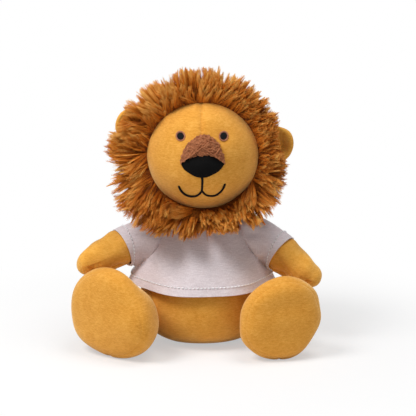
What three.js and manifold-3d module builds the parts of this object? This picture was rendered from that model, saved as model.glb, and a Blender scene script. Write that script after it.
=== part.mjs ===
// A seated plush lion in a T-shirt, in millimetres: +Z up, its face towards -Y, its own left towards +X.
// The origin is the middle of the flat patch under the body that it sits on.
import * as THREE from 'three';
import { mergeVertices } from 'three/addons/utils/BufferGeometryUtils.js';
import Module from 'manifold-3d';

// Cloth, filling and the gaps between pieces
const plushThickness = 2;
const jerseyThickness = 0.9;
const pieceGap = 0.3;
const jointGap = 0.35;
const ballSides = 12;
const seatCutDepth = 0.5;
const cutOverrun = 60;
const weldDistance = 1e-4;
// Cosines of the rows that round off the root of a limb
const rootRowShares = [-0.866, -0.5, 0];
const rootOpeningShare = 0.5;

// Body: a pear that sits on the floor
const bodyHeight = 84.5;
const bodyWidth = 85;
const bodyDepth = 82;
const bodyLean = -3;
const bodySides = 24;
const bodySeamPlace = -1.5;
// Rows of height, half width, half depth and lean, as shares of the four sizes above
const bodyShares = [
  [0, 0, 0, 0.3],
  [0.006, 0.4, 0.4, 0.4],
  [0.035, 0.68, 0.68, 0.6],
  [0.11, 0.88, 0.88, 0.8],
  [0.22, 0.98, 0.98, 1],
  [0.34, 1, 1, 1],
  [0.46, 0.93, 0.945, 0.9],
  [0.58, 0.79, 0.83, 0.7],
  [0.7, 0.69, 0.72, 0.5],
  [0.81, 0.65, 0.63, 0.35],
  [0.9, 0.58, 0.52, 0.35],
  [0.96, 0.4, 0.37, 0.5],
  [0.99, 0.2, 0.19, 0.6],
  [1, 0, 0, 0.7],
];

// Bag of pellets in the seat
const pelletBagWidth = 58;
const pelletBagDepth = 46;
const pelletBagHeight = 22;
const pelletBagSides = 18;
const pelletBagRows = 8;

// Neck: a firm wad of filling that the head turns and nods on, at a rise over the body's top
const neckRise = 1;
const neckPlace = -3;
const neckRadius = 12;
const neckSides = 24;
const neckGap = 0.1;
const neckFurRadius = 20.5;

// Head: its middle is at a rise over the body's top
const headRise = 40;
const headPlace = -6;
const headHalfWidth = 39;
const headHalfDepth = 40;
const headHalfHeight = 37.5;
const headSides = 20;
const headRows = 12;
const faceSeamPlace = -23;

// Mane: how far the fur reaches beyond the head
const furAbove = 15.5;
const furBelow = 11.2;
const furLeft = 12.5;
const furRight = 19;
const maneSides = 28;
const maneBeardStartShare = 0.3;
const maneBeardFullShare = 0.85;
// Rows from the face seam to the back, as shares of the head's radius, the fur's reach and the head's half
// depth
const maneRingShares = [
  [0.9, 0, -0.4],
  [0.91, 0.14, -0.56],
  [0.93, 0.46, -0.66],
  [0.96, 0.8, -0.58],
  [1, 1, -0.38],
  [1, 0.99, -0.14],
  [1, 0.8, 0.04],
  [0.99, 0.5, 0.17],
  [0.9, 0.46, 0.48],
  [0.68, 0.52, 0.79],
  [0.36, 0.42, 1.04],
  [0, 0, 1.17],
];
const maneBeardShares = [
  [0.88, 0, -0.42],
  [0.9, 0.14, -0.72],
  [0.95, 0.55, -0.97],
  [1, 0.9, -1],
  [1, 0.92, -0.86],
  [1, 0.5, -0.62],
  [1, 0.2, -0.2],
  [0.99, 0.16, 0.18],
  [0.89, 0.24, 0.5],
  [0.68, 0.4, 0.8],
  [0.36, 0.42, 1.04],
  [0, 0, 1.17],
];

// Face: rise shares give heights on the head as shares of its half height, from its middle
const featureLift = 0.45;
const padEdgeShare = 0.46;
const padRings = 2;
const eyeSpacing = 26.6;
const eyeRiseShare = 0.4;
const eyeDiameter = 4;
const eyeRimDiameter = 6;
const eyeThickness = 0.9;
const eyeRimThickness = 0.6;
const eyeSides = 12;
const eyeRimSides = 14;
const noseWidth = 25.2;
const noseCornerRiseShare = -0.0373;
const noseTopRiseShare = 0.1;
const noseBottomRiseShare = -0.2587;
const noseThickness = 1.4;
const noseBowPower = 1.5;
const noseSides = 20;
const bridgeWidth = 27.5;
const bridgeTopRiseShare = 0.4293;
const bridgeCornerRiseShare = 0.0027;
const bridgeThickness = 2.2;
const bridgeSteps = 10;
const bridgeSidePower = 2.2;
const bridgeTopPower = 0.8;
const mouthWidth = 29;
const mouthTopRiseShare = -0.28;
const mouthMeetRiseShare = -0.5067;
const mouthDip = 4.4;
const mouthRise = 3.6;
const mouthLineWidth = 1.3;
const mouthThickness = 0.7;
const mouthSteps = 7;
// Points of one half of the mouth, as shares of its half width and its dip
const mouthCurveShares = [
  [0, 0],
  [0.23, 0.8],
  [0.46, 1],
  [0.8, 0.35],
];

// Ears: their root is at the head's side, behind the ring of the mane
const earPlace = 5;
const earLeftRiseShare = 0.1;
const earRightRiseShare = 0.48;
const earWidth = 26;
const earLength = 25.8;
const earPanelThickness = 2.2;
const earDish = 2.5;
const earRootSink = 3;
const earFlickForwardDegrees = 6;
const earFlickBackDegrees = 18;
const earRings = 2;
const earSides = 16;
const earPocketReach = 21.5;
const earPocketHalfDepth = 11;
const earPocketHalfHeight = 22;
const earPocketSides = 14;
const earPocketRows = 8;

// Arms: their pivot is at the shoulder, at a drop under the body's top, and they slope down from it
const shoulderInset = 5.7;
const shoulderDepth = -2;
const shoulderDrop = 16.3;
const armRadius = 11.3;
const armLength = 51.2;
const armLeftForwardDegrees = 31;
const armRightForwardDegrees = 28;
const armLeftDropDegrees = 31;
const armRightDropDegrees = 18.5;
const armSides = 12;
// How far each arm lifts from its rest, which the shirt's armhole leaves room for
const armLeftLiftDegrees = [0, 45];
const armRightLiftDegrees = [-12, 32];
const armholeSteps = 5;
// Rows of length and radius as shares, from the shoulder to the paw
const armShares = [
  [0.2, 1],
  [0.4, 0.99],
  [0.58, 0.93],
  [0.74, 0.83],
  [0.87, 0.68],
  [0.955, 0.45],
  [0.993, 0.18],
  [1, 0],
];

// T-shirt
const hemHeight = 39;
// Rows of height, half width and half depth inside the cloth, as shares of the way from the hem to the
// neckline and of the body's half width and half depth
const shirtShares = [
  [0, 1.07, 1.08],
  [0.08, 1.04, 1.045],
  [0.18, 1.005, 0.995],
  [0.32, 0.93, 0.92],
  [0.51, 0.83, 0.805],
  [0.7, 0.74, 0.695],
  [0.87, 0.62, 0.55],
  [1, 0.5, 0.43],
];
const hemFold = 0.5;
const hemFoldCount = 7;
const hemFoldReachShare = 0.4;
const necklineDrop = 4;
const neckbandHeight = 4.5;
const neckbandThickness = 1.5;
const shirtRows = 10;
const sleeveLength = 19.5;
const sleeveGap = 0.45;
const sleeveFlare = 0.4;
const sleeveOpenShare = 0.25;
const sleeveRows = 5;

// Legs: their pivot is at the hip, and they lie forward on the floor
const hipInset = 2.5;
const hipDepth = -22.5;
const hipHeight = 22;
const hipRadius = 15;
const legLength = 41;
const footLeftWidth = 53;
const footLeftHeight = 54.5;
const footRightWidth = 63;
const footRightHeight = 57.5;
const legLeftSplayDegrees = 14;
const legRightSplayDegrees = 35;
const soleSeamShare = 0.87;
const legSides = 16;
// Rows of length, half width, half height and axis height, as shares of the leg's length, of half the foot's
// width and height, and of the way from the hip's height to the foot's
const legLeftShares = [
  [0.16, 0.47, 0.47, 0.06],
  [0.28, 0.55, 0.57, 0.25],
  [0.42, 0.69, 0.7, 0.5],
  [0.58, 0.87, 0.87, 0.8],
  [0.72, 0.98, 0.98, 1],
  [0.84, 0.99, 0.99, 1],
  [0.92, 0.85, 0.85, 1],
  [0.97, 0.58, 0.58, 1],
  [0.993, 0.27, 0.27, 1],
  [1, 0, 0, 1],
];
const legRightShares = [
  [0.16, 0.47, 0.45, 0],
  [0.28, 0.71, 0.56, 0.1],
  [0.42, 0.9, 0.72, 0.35],
  [0.58, 0.98, 0.89, 0.7],
  [0.72, 0.99, 0.98, 1],
  [0.84, 0.99, 0.99, 1],
  [0.92, 0.85, 0.85, 1],
  [0.97, 0.58, 0.58, 1],
  [0.993, 0.27, 0.27, 1],
  [1, 0, 0, 1],
];

// Tail: it leaves the lower back and lies curled on the floor behind
const tailInset = 3.5;
const tailHeight = 12.5;
const tailRootRadius = 5;
const tailRadius = 4;
const tailTuftRadius = 6.8;
const tailTuftLength = 26;
const tailReach = 26;
const tailSweep = 30;
const tailSides = 8;
const tailFloorGap = 0.6;
// Rows of place along the tail or its tuft and of radius, as shares
const tailRadiusShares = [
  [0, 0],
  [0.001, 0.8],
  [0.11, 1],
  [0.22, 1],
  [0.33, 1],
  [0.44, 1],
  [0.56, 1],
  [0.67, 1],
  [0.78, 1],
  [0.89, 1],
  [0.999, 0.9],
  [1, 0],
];
const tuftSides = 10;
const tuftRadiusShares = [
  [0, 0],
  [0.002, 0.5],
  [0.14, 0.78],
  [0.34, 1],
  [0.56, 0.95],
  [0.76, 0.68],
  [0.92, 0.32],
  [1, 0],
];
const tailRouteShares = [
  [0, 0, 0],
  [0, 0.35, 0.35],
  [0.08, 0.68, 0.8],
  [0.32, 0.93, 0.8],
  [0.65, 1, 0.62],
  [1, 0.95, 0.62],
];

// Places that follow from the sizes above
const neckHeight = bodyHeight + neckRise;
const headHeight = bodyHeight + headRise;
const shoulderHeight = bodyHeight - shoulderDrop;
const shoulderPlace = bodyWidth / 2 - shoulderInset;
const hipPlace = bodyWidth / 2 - hipInset;
const necklineHeight = bodyHeight - necklineDrop;
const tailPlace = bodyDepth / 2 + bodyLean - tailInset;
const faceHeight = (riseShare) => headHeight + riseShare * headHalfHeight;
const eyeHeight = faceHeight(eyeRiseShare);
const noseCornerHeight = faceHeight(noseCornerRiseShare);
const noseTopHeight = faceHeight(noseTopRiseShare);
const noseBottomHeight = faceHeight(noseBottomRiseShare);
const bridgeTopHeight = faceHeight(bridgeTopRiseShare);
const bridgeCornerHeight = faceHeight(bridgeCornerRiseShare);
const mouthTopHeight = faceHeight(mouthTopRiseShare);
const mouthMeetHeight = faceHeight(mouthMeetRiseShare);

const plushAmber = 0xe0a040;
const maneBrown = 0xb5651d;
const bridgeBrown = 0xb97850;
const threadBlack = 0x151314;
const rimThread = 0xb07a60;
const jerseyWhite = 0xf2eff2;
const fibreWhite = 0xf6f4ee;
const pelletCloth = 0xd8d2c6;

const radians = THREE.MathUtils.degToRad;
const wasm = await Module();
wasm.setup();

const lion = new THREE.Group();

function material(color, roughness) {
  return new THREE.MeshStandardMaterial({ color, roughness, metalness: 0 });
}

const plush = material(plushAmber, 0.9);
const fur = material(maneBrown, 0.95);
const fleece = material(bridgeBrown, 0.95);
const blackThread = material(threadBlack, 0.6);
const paleThread = material(rimThread, 0.7);
const jersey = material(jerseyWhite, 0.85);
const fibre = material(fibreWhite, 1);
const bagCloth = material(pelletCloth, 0.9);

function addPiece(parent, name, geometry, finish) {
  const mesh = new THREE.Mesh(geometry, finish);
  mesh.name = name;
  parent.add(mesh);
  return mesh;
}

// A geometry from points and triangles, turned to face outwards.
function closedGeometry(points, faces) {
  let volume = 0;
  for (const [a, b, c] of faces) {
    volume += points[a].dot(new THREE.Vector3().crossVectors(points[b], points[c]));
  }
  const outward = volume > 0 ? faces : faces.map(([a, b, c]) => [a, c, b]);
  const geometry = new THREE.BufferGeometry().setFromPoints(points);
  geometry.setIndex(outward.flat());
  return geometry;
}

// Faces between two rings of equal length, given the index of each ring's first point.
function ringFaces(first, second, count) {
  const faces = [];
  for (let i = 0; i < count; i += 1) {
    const next = (i + 1) % count;
    faces.push([first + i, first + next, second + next], [first + i, second + next, second + i]);
  }
  return faces;
}

// A closed form through rings of points, ended by a point at each end.
function cappedForm(startPoint, rings, endPoint) {
  const count = rings[0].length;
  const points = [startPoint, ...rings.flat(), endPoint];
  const last = points.length - 1;
  const faces = [];
  for (let i = 0; i < count; i += 1) {
    const next = (i + 1) % count;
    faces.push([0, 1 + next, 1 + i], [last, last - count + i, last - count + next]);
  }
  for (let r = 0; r + 1 < rings.length; r += 1) {
    faces.push(...ringFaces(1 + r * count, 1 + (r + 1) * count, count));
  }
  return closedGeometry(points, faces);
}

// A closed band: the rings follow each other round a hollow and the last joins the first.
function bandForm(rings) {
  const count = rings[0].length;
  const faces = [];
  for (let r = 0; r < rings.length; r += 1) {
    faces.push(...ringFaces(r * count, ((r + 1) % rings.length) * count, count));
  }
  return closedGeometry(rings.flat(), faces);
}

// A surface moved along its own normals.
function offsetForm(geometry, distance) {
  const moved = geometry.clone();
  moved.computeVertexNormals();
  const place = moved.attributes.position;
  const normal = moved.attributes.normal;
  for (let i = 0; i < place.count; i += 1) {
    place.setXYZ(
      i,
      place.getX(i) + normal.getX(i) * distance,
      place.getY(i) + normal.getY(i) * distance,
      place.getZ(i) + normal.getZ(i) * distance,
    );
  }
  moved.deleteAttribute('normal');
  return moved;
}

function solid(geometry) {
  const bare = geometry.clone();
  for (const name of Object.keys(bare.attributes)) {
    if (name !== 'position') bare.deleteAttribute(name);
  }
  const merged = mergeVertices(bare, weldDistance);
  return new wasm.Manifold(
    new wasm.Mesh({
      numProp: 3,
      vertProperties: new Float32Array(merged.attributes.position.array),
      triVerts: new Uint32Array(merged.index.array),
    }),
  );
}

function geometryOf(manifold) {
  const mesh = manifold.getMesh();
  const geometry = new THREE.BufferGeometry();
  geometry.setAttribute('position', new THREE.BufferAttribute(mesh.vertProperties, 3));
  geometry.setIndex(new THREE.BufferAttribute(mesh.triVerts, 1));
  return geometry;
}

function ball(radius, x, y, z, sideCount = ballSides) {
  return new THREE.SphereGeometry(radius, sideCount, sideCount / 2).translate(x, y, z);
}

// A hollow whose flat faces all stay outside a radius, for a ball to turn in.
function ballHollow(radius, x, y, z, sideCount = ballSides) {
  return solid(ball(radius / Math.cos(Math.PI / sideCount) ** 2, x, y, z, sideCount));
}

function ellipsoid(a, b, c, x, y, z, sides, rows) {
  return new THREE.SphereGeometry(1, sides, rows).scale(a, b, c).translate(x, y, z);
}

// A box between two corners, for cuts.
function block(low, high) {
  const size = high.clone().sub(low);
  const middle = high.clone().add(low).multiplyScalar(0.5);
  return solid(new THREE.BoxGeometry(size.x, size.y, size.z).translate(middle.x, middle.y, middle.z));
}

// All space on one side of a plane square to an axis, as far as the cuts need.
function halfSpace(axis, place, side) {
  const reach = bodyHeight + headHeight + cutOverrun;
  const low = new THREE.Vector3(-reach, -reach, -reach);
  const high = new THREE.Vector3(reach, reach, reach);
  if (side > 0) low[axis] = place;
  else high[axis] = place;
  return block(low, high);
}

const belowFloor = halfSpace('z', 0, -1);

function ovalRing(count, place) {
  return Array.from({ length: count }, (_, i) => place((i / count) * Math.PI * 2));
}

function bodyForm() {
  const rings = bodyShares.slice(1, -1).map((row) =>
    ovalRing(
      bodySides,
      (angle) =>
        new THREE.Vector3(
          (Math.cos(angle) * row[1] * bodyWidth) / 2,
          row[3] * bodyLean + (Math.sin(angle) * row[2] * bodyDepth) / 2,
          row[0] * (bodyHeight + seatCutDepth) - seatCutDepth,
        ),
    ),
  );
  const pole = (row) =>
    new THREE.Vector3(0, row[3] * bodyLean, row[0] * (bodyHeight + seatCutDepth) - seatCutDepth);
  return cappedForm(pole(bodyShares[0]), rings, pole(bodyShares[bodyShares.length - 1]));
}

const leftSide = {
  name: 'left',
  sign: 1,
  drop: armLeftDropDegrees,
  forward: armLeftForwardDegrees,
  lift: armLeftLiftDegrees,
  splay: legLeftSplayDegrees,
  footWidth: footLeftWidth,
  footHeight: footLeftHeight,
  legShares: legLeftShares,
  earRiseShare: earLeftRiseShare,
};
const rightSide = {
  name: 'right',
  sign: -1,
  drop: armRightDropDegrees,
  forward: armRightForwardDegrees,
  lift: armRightLiftDegrees,
  splay: legRightSplayDegrees,
  footWidth: footRightWidth,
  footHeight: footRightHeight,
  legShares: legRightShares,
  earRiseShare: earRightRiseShare,
};
const sides = [leftSide, rightSide];
const sleeveInner = armRadius + sleeveGap;
const sleeveOuter = sleeveInner + jerseyThickness;

// Every hollow in the body that a joint turns in.
function jointHollows() {
  let space = ballHollow(neckRadius + neckGap, 0, neckPlace, neckHeight, neckSides);
  space = space.add(ballHollow(tailRootRadius + jointGap, 0, tailPlace, tailHeight));
  for (const { sign } of sides) {
    const shoulder = ballHollow(sleeveOuter + jointGap, sign * shoulderPlace, shoulderDepth, shoulderHeight);
    space = space.add(shoulder);
    space = space.add(ballHollow(hipRadius + jointGap, sign * hipPlace, hipDepth, hipHeight));
  }
  return space;
}

const hollows = jointHollows();

function addBody() {
  const outer = bodyForm();
  const inner = solid(offsetForm(outer, -plushThickness));
  const skin = solid(outer).subtract(inner).subtract(belowFloor).subtract(hollows);
  const halfGap = pieceGap / 2;
  const front = skin.subtract(halfSpace('y', bodySeamPlace - halfGap, 1));
  const back = skin.subtract(halfSpace('y', bodySeamPlace + halfGap, -1));
  addPiece(lion, 'body_front_panel', geometryOf(front), plush);
  addPiece(lion, 'body_back_panel', geometryOf(back), plush);

  const filling = solid(offsetForm(outer, -plushThickness - pieceGap)).subtract(hollows);
  const bagShape = (extra) =>
    solid(
      ellipsoid(
        pelletBagWidth / 2 + extra,
        pelletBagDepth / 2 + extra,
        pelletBagHeight + extra,
        0,
        0,
        plushThickness,
        pelletBagSides,
        pelletBagRows,
      ),
    );
  addPiece(lion, 'body_stuffing', geometryOf(filling.subtract(bagShape(pieceGap))), fibre);
  addPiece(lion, 'pellet_bag', geometryOf(filling.intersect(bagShape(0))), bagCloth);
}

// The row of shares at a place between the rows of a table.
function rowAt(table, share) {
  let i = 0;
  while (i + 2 < table.length && table[i + 1][0] < share) i += 1;
  const [low, high] = [table[i], table[i + 1]];
  const local = THREE.MathUtils.clamp((share - low[0]) / (high[0] - low[0]), 0, 1);
  return low.map((value, k) => THREE.MathUtils.lerp(value, high[k], local));
}

// The body's lean at a height.
function leanAt(height) {
  return rowAt(bodyShares, (height + seatCutDepth) / (bodyHeight + seatCutDepth))[3] * bodyLean;
}

function shirtRing(height, extra) {
  const up = (height - hemHeight) / (necklineHeight - hemHeight);
  const [, wide, deep] = rowAt(shirtShares, up);
  const lean = leanAt(height);
  return ovalRing(bodySides, (angle) => {
    const fold = hemFold * Math.max(0, 1 - up / hemFoldReachShare) * Math.cos(hemFoldCount * angle);
    return new THREE.Vector3(
      Math.cos(angle) * ((wide * bodyWidth) / 2 + fold + extra),
      lean + Math.sin(angle) * ((deep * bodyDepth) / 2 + fold + extra),
      height,
    );
  });
}

// The space that a sleeve passes through between the ends of its arm's lift.
function armholeSpace(side) {
  const radius = sleeveOuter + sleeveFlare + jointGap;
  const place = new THREE.Matrix4();
  const turn = new THREE.Euler();
  let space = ballHollow(radius, 0, 0, 0).translate([side.sign * shoulderPlace, shoulderDepth, shoulderHeight]);
  for (let i = 0; i < armholeSteps; i += 1) {
    const lifted = THREE.MathUtils.lerp(side.lift[0], side.lift[1], i / (armholeSteps - 1));
    turn.set(0, side.sign * radians(side.drop - lifted), -side.sign * radians(side.forward), 'ZYX');
    place.makeRotationFromEuler(turn).setPosition(side.sign * shoulderPlace, shoulderDepth, shoulderHeight);
    const tube = new THREE.CylinderGeometry(radius, radius, armLength, bodySides)
      .rotateZ(Math.PI / 2)
      .translate((side.sign * armLength) / 2, 0, 0);
    space = space.add(solid(tube.applyMatrix4(place)));
  }
  return space;
}

function addShirt() {
  const heights = Array.from({ length: shirtRows }, (_, i) =>
    THREE.MathUtils.lerp(hemHeight, necklineHeight, i / (shirtRows - 1)),
  );
  const outer = heights.map((height) => shirtRing(height, jerseyThickness));
  const inner = heights.map((height) => shirtRing(height, 0)).reverse();
  const armholes = sides.map(armholeSpace).reduce((all, one) => all.add(one));
  const cloth = solid(bandForm([...outer, ...inner])).subtract(hollows).subtract(armholes);
  const halfGap = pieceGap / 2;
  const front = cloth.subtract(halfSpace('y', bodySeamPlace - halfGap, 1));
  const back = cloth.subtract(halfSpace('y', bodySeamPlace + halfGap, -1));
  addPiece(lion, 'shirt_front', geometryOf(front), jersey);
  addPiece(lion, 'shirt_back', geometryOf(back), jersey);

  const bandLow = necklineHeight - neckbandHeight;
  const ribHeights = [bandLow, (bandLow + necklineHeight) / 2, necklineHeight];
  const lift = jerseyThickness + pieceGap;
  const ribOuter = ribHeights.map((height) => shirtRing(height, lift + neckbandThickness));
  const ribInner = ribHeights.map((height) => shirtRing(height, lift)).reverse();
  const band = solid(bandForm([...ribOuter, ...ribInner])).subtract(hollows);
  addPiece(lion, 'shirt_neckband', geometryOf(band), jersey);
}

// The arm's outer form along its own axis, from a round root at the shoulder.
function armForm(sign) {
  const rootRows = rootRowShares.map((share) => [share * armRadius, Math.sqrt(1 - share ** 2) * armRadius]);
  const rows = [
    ...rootRows,
    ...armShares.slice(0, -1).map(([along, radius]) => [along * armLength, radius * armRadius]),
  ];
  const rings = rows.map(([along, radius]) =>
    ovalRing(
      armSides,
      (angle) => new THREE.Vector3(sign * along, Math.cos(angle) * radius, Math.sin(angle) * radius),
    ),
  );
  const root = new THREE.Vector3(-sign * armRadius, 0, 0);
  return cappedForm(root, rings, new THREE.Vector3(sign * armLength, 0, 0));
}

function addArm(side) {
  const group = new THREE.Group();
  group.position.set(side.sign * shoulderPlace, shoulderDepth, shoulderHeight);
  group.rotation.set(0, side.sign * radians(side.drop), -side.sign * radians(side.forward), 'ZYX');
  lion.add(group);

  const outer = armForm(side.sign);
  const inner = solid(offsetForm(outer, -plushThickness));
  const rootOpening = halfSpace('x', -side.sign * armRadius * rootOpeningShare, -side.sign);
  const skin = solid(outer).subtract(inner).subtract(rootOpening);
  addPiece(group, `arm_${side.name}_skin`, geometryOf(skin), plush);
  addPiece(group, `arm_${side.name}_stuffing`, offsetForm(outer, -plushThickness - pieceGap), fibre);

  const places = Array.from({ length: sleeveRows }, (_, i) => i / (sleeveRows - 1));
  const sleeveRing = (share, radius) => {
    const along = THREE.MathUtils.lerp(-sleeveOpenShare * armRadius, sleeveLength, share);
    const flared = radius + sleeveFlare * (along / sleeveLength);
    const round = along < 0 ? Math.sqrt(radius ** 2 - along ** 2) : flared;
    return ovalRing(
      armSides,
      (angle) => new THREE.Vector3(side.sign * along, Math.cos(angle) * round, Math.sin(angle) * round),
    );
  };
  const sleeve = bandForm([
    ...places.map((share) => sleeveRing(share, sleeveOuter)),
    ...places.map((share) => sleeveRing(share, sleeveInner)).reverse(),
  ]);
  addPiece(group, `sleeve_${side.name}`, sleeve, jersey);
}

// The leg's outer form, from a round root at the hip to a bulging sole.
function legForm({ footWidth, footHeight, legShares }) {
  const axisRise = footHeight / 2 - seatCutDepth - hipHeight;
  const rootRows = rootRowShares.map((share) => {
    const radius = Math.sqrt(1 - share ** 2) * hipRadius;
    return [share * hipRadius, radius, radius, 0];
  });
  const rows = [
    ...rootRows,
    ...legShares
      .slice(0, -1)
      .map(([along, width, height, rise]) => [
        along * legLength,
        (width * footWidth) / 2,
        (height * footHeight) / 2,
        rise * axisRise,
      ]),
  ];
  const rings = rows.map(([along, width, height, rise]) =>
    ovalRing(
      legSides,
      (angle) => new THREE.Vector3(Math.cos(angle) * width, -along, rise + Math.sin(angle) * height),
    ),
  );
  return cappedForm(new THREE.Vector3(0, hipRadius, 0), rings, new THREE.Vector3(0, -legLength, axisRise));
}

function addLeg(side) {
  const group = new THREE.Group();
  group.position.set(side.sign * hipPlace, hipDepth, hipHeight);
  group.rotation.z = side.sign * radians(side.splay);
  lion.add(group);

  const floor = halfSpace('z', -hipHeight, -1);
  const outer = legForm(side);
  const inner = solid(offsetForm(outer, -plushThickness));
  const rootOpening = halfSpace('y', hipRadius * rootOpeningShare, 1);
  const skin = solid(outer).subtract(inner).subtract(floor).subtract(rootOpening);
  const seam = -soleSeamShare * legLength;
  const halfGap = pieceGap / 2;
  const upper = skin.subtract(halfSpace('y', seam + halfGap, -1));
  const sole = skin.subtract(halfSpace('y', seam - halfGap, 1));
  addPiece(group, `leg_${side.name}_skin`, geometryOf(upper), plush);
  addPiece(group, `leg_${side.name}_sole`, geometryOf(sole), plush);
  addPiece(group, `leg_${side.name}_stuffing`, offsetForm(outer, -plushThickness - pieceGap), fibre);
}

function headEllipsoid(extra) {
  return ellipsoid(
    headHalfWidth + extra,
    headHalfDepth + extra,
    headHalfHeight + extra,
    0,
    headPlace,
    headHeight,
    headSides,
    headRows,
  );
}

function addHead() {
  const neckHollow = ballHollow(neckRadius + neckGap, 0, neckPlace, neckHeight, neckSides);
  const skin = solid(headEllipsoid(0)).subtract(solid(headEllipsoid(-plushThickness))).subtract(neckHollow);
  const halfGap = pieceGap / 2;
  const face = skin.subtract(halfSpace('y', faceSeamPlace - halfGap, 1));
  const back = skin.subtract(halfSpace('y', faceSeamPlace + halfGap, -1));
  addPiece(lion, 'face_panel', geometryOf(face), plush);
  addPiece(lion, 'head_back_panel', geometryOf(back), fur);
  const filling = solid(headEllipsoid(-plushThickness - pieceGap)).subtract(neckHollow);
  addPiece(lion, 'head_stuffing', geometryOf(filling), fibre);
  addPiece(lion, 'neck_stuffing', ball(neckRadius, 0, neckPlace, neckHeight, neckSides), fibre);
}

// The fur's reach beyond the head at an angle round the face, from 0 at the lion's left.
function furAt(angle) {
  const across = Math.cos(angle) ** 2 * (Math.cos(angle) > 0 ? furLeft : furRight);
  const upright = Math.sin(angle) ** 2 * (Math.sin(angle) > 0 ? furAbove : furBelow);
  return across + upright;
}

function maneForm() {
  const ring = (row) =>
    ovalRing(maneSides, (angle) => {
      const down = -Math.sin(angle);
      const beard = THREE.MathUtils.smoothstep(down, maneBeardStartShare, maneBeardFullShare);
      const share = maneRingShares[row].map((value, k) =>
        THREE.MathUtils.lerp(value, maneBeardShares[row][k], beard),
      );
      const fullest = share[1] * furAt(angle);
      return new THREE.Vector3(
        Math.cos(angle) * (share[0] * headHalfWidth + fullest),
        headPlace + share[2] * headHalfDepth,
        headHeight + Math.sin(angle) * (share[0] * headHalfHeight + fullest),
      );
    });
  const last = maneRingShares.length - 1;
  const rings = Array.from({ length: last }, (_, row) => ring(row));
  const inside = new THREE.Vector3(0, headPlace, headHeight);
  const backPole = new THREE.Vector3(0, headPlace + maneRingShares[last][2] * headHalfDepth, headHeight);
  return cappedForm(inside, rings, backPole);
}

function addMane() {
  let mane = solid(maneForm()).subtract(solid(headEllipsoid(pieceGap)));
  mane = mane.subtract(ballHollow(neckFurRadius, 0, neckPlace, neckHeight));
  for (const side of sides) {
    const root = earRoot(side);
    const pocket = ellipsoid(
      earPocketReach,
      earPocketHalfDepth,
      earPocketHalfHeight,
      root.x,
      root.y,
      root.z,
      earPocketSides,
      earPocketRows,
    );
    mane = mane.subtract(solid(pocket));
  }
  addPiece(lion, 'mane', geometryOf(mane), fur);
}

// The point of the head's side that an ear stands on.
function earRoot(side) {
  const up = side.earRiseShare;
  const along = (earPlace - headPlace) / headHalfDepth;
  const out = headHalfWidth * Math.sqrt(1 - up ** 2 - along ** 2);
  return new THREE.Vector3(side.sign * out, earPlace, headHeight + up * headHalfHeight);
}

// One panel of an ear: a dished oval plate that starts inside the head's side, where it is cut to fit.
function earPanel(sign, front, thickness) {
  const middle = earLength / 2;
  const surface = (ring, angle, depth) => {
    const share = ring / earRings;
    const out = middle * (1 + share * Math.cos(angle)) - earRootSink;
    const across = (share * Math.sin(angle) * earWidth) / 2;
    return new THREE.Vector3(sign * out, depth + earDish * (1 - share ** 2), across);
  };
  const layer = (depth) =>
    Array.from({ length: earRings }, (_, r) => ovalRing(earSides, (angle) => surface(r + 1, angle, depth)));
  const rings = [...layer(front), ...layer(front + thickness).reverse()];
  return cappedForm(surface(0, 0, front), rings, surface(0, 0, front + thickness));
}

function addEar(side) {
  const group = new THREE.Group();
  const root = earRoot(side);
  group.position.copy(root);
  lion.add(group);

  // The head's side as the ear meets it at rest and at both ends of its flick
  const headSide = solid(headEllipsoid(pieceGap).translate(-root.x, -root.y, -root.z));
  const trims = [0, earFlickForwardDegrees, -earFlickBackDegrees].map((degrees) =>
    headSide.rotate([0, 0, side.sign * degrees]),
  );
  const trimmed = (panel) => geometryOf(trims.reduce((shape, trim) => shape.subtract(trim), solid(panel)));
  const front = earPanel(side.sign, -earPanelThickness - pieceGap / 2, earPanelThickness);
  const back = earPanel(side.sign, pieceGap / 2, earPanelThickness);
  addPiece(group, `ear_${side.name}_front`, trimmed(front), plush);
  addPiece(group, `ear_${side.name}_back`, trimmed(back), plush);
}

// A point of the face, lifted off its surface.
function facePoint(x, z, lift) {
  const a = x / headHalfWidth;
  const c = (z - headHeight) / headHalfHeight;
  const b = -Math.sqrt(1 - a ** 2 - c ** 2);
  const normal = new THREE.Vector3(a / headHalfWidth, b / headHalfDepth, c / headHalfHeight).normalize();
  return new THREE.Vector3(x, headPlace + b * headHalfDepth, z).addScaledVector(normal, lift);
}

// A pad on the face inside an outline round a middle point, thickest in the middle.
function facePad(middle, outline, thickness, rings) {
  const spot = (share, [x, z], lift) =>
    facePoint(THREE.MathUtils.lerp(middle[0], x, share), THREE.MathUtils.lerp(middle[1], z, share), lift);
  const under = [];
  const over = [];
  for (let r = 1; r <= rings; r += 1) {
    const share = r / rings;
    const bulge = THREE.MathUtils.lerp(padEdgeShare, 1, Math.sqrt(1 - share ** 2));
    const lift = featureLift + thickness * bulge;
    under.push(outline.map((point) => spot(share, point, featureLift)));
    over.push(outline.map((point) => spot(share, point, lift)));
  }
  const middleTop = spot(0, outline[0], featureLift + thickness);
  return cappedForm(spot(0, outline[0], featureLift), [...under, ...over.reverse()], middleTop);
}

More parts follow.
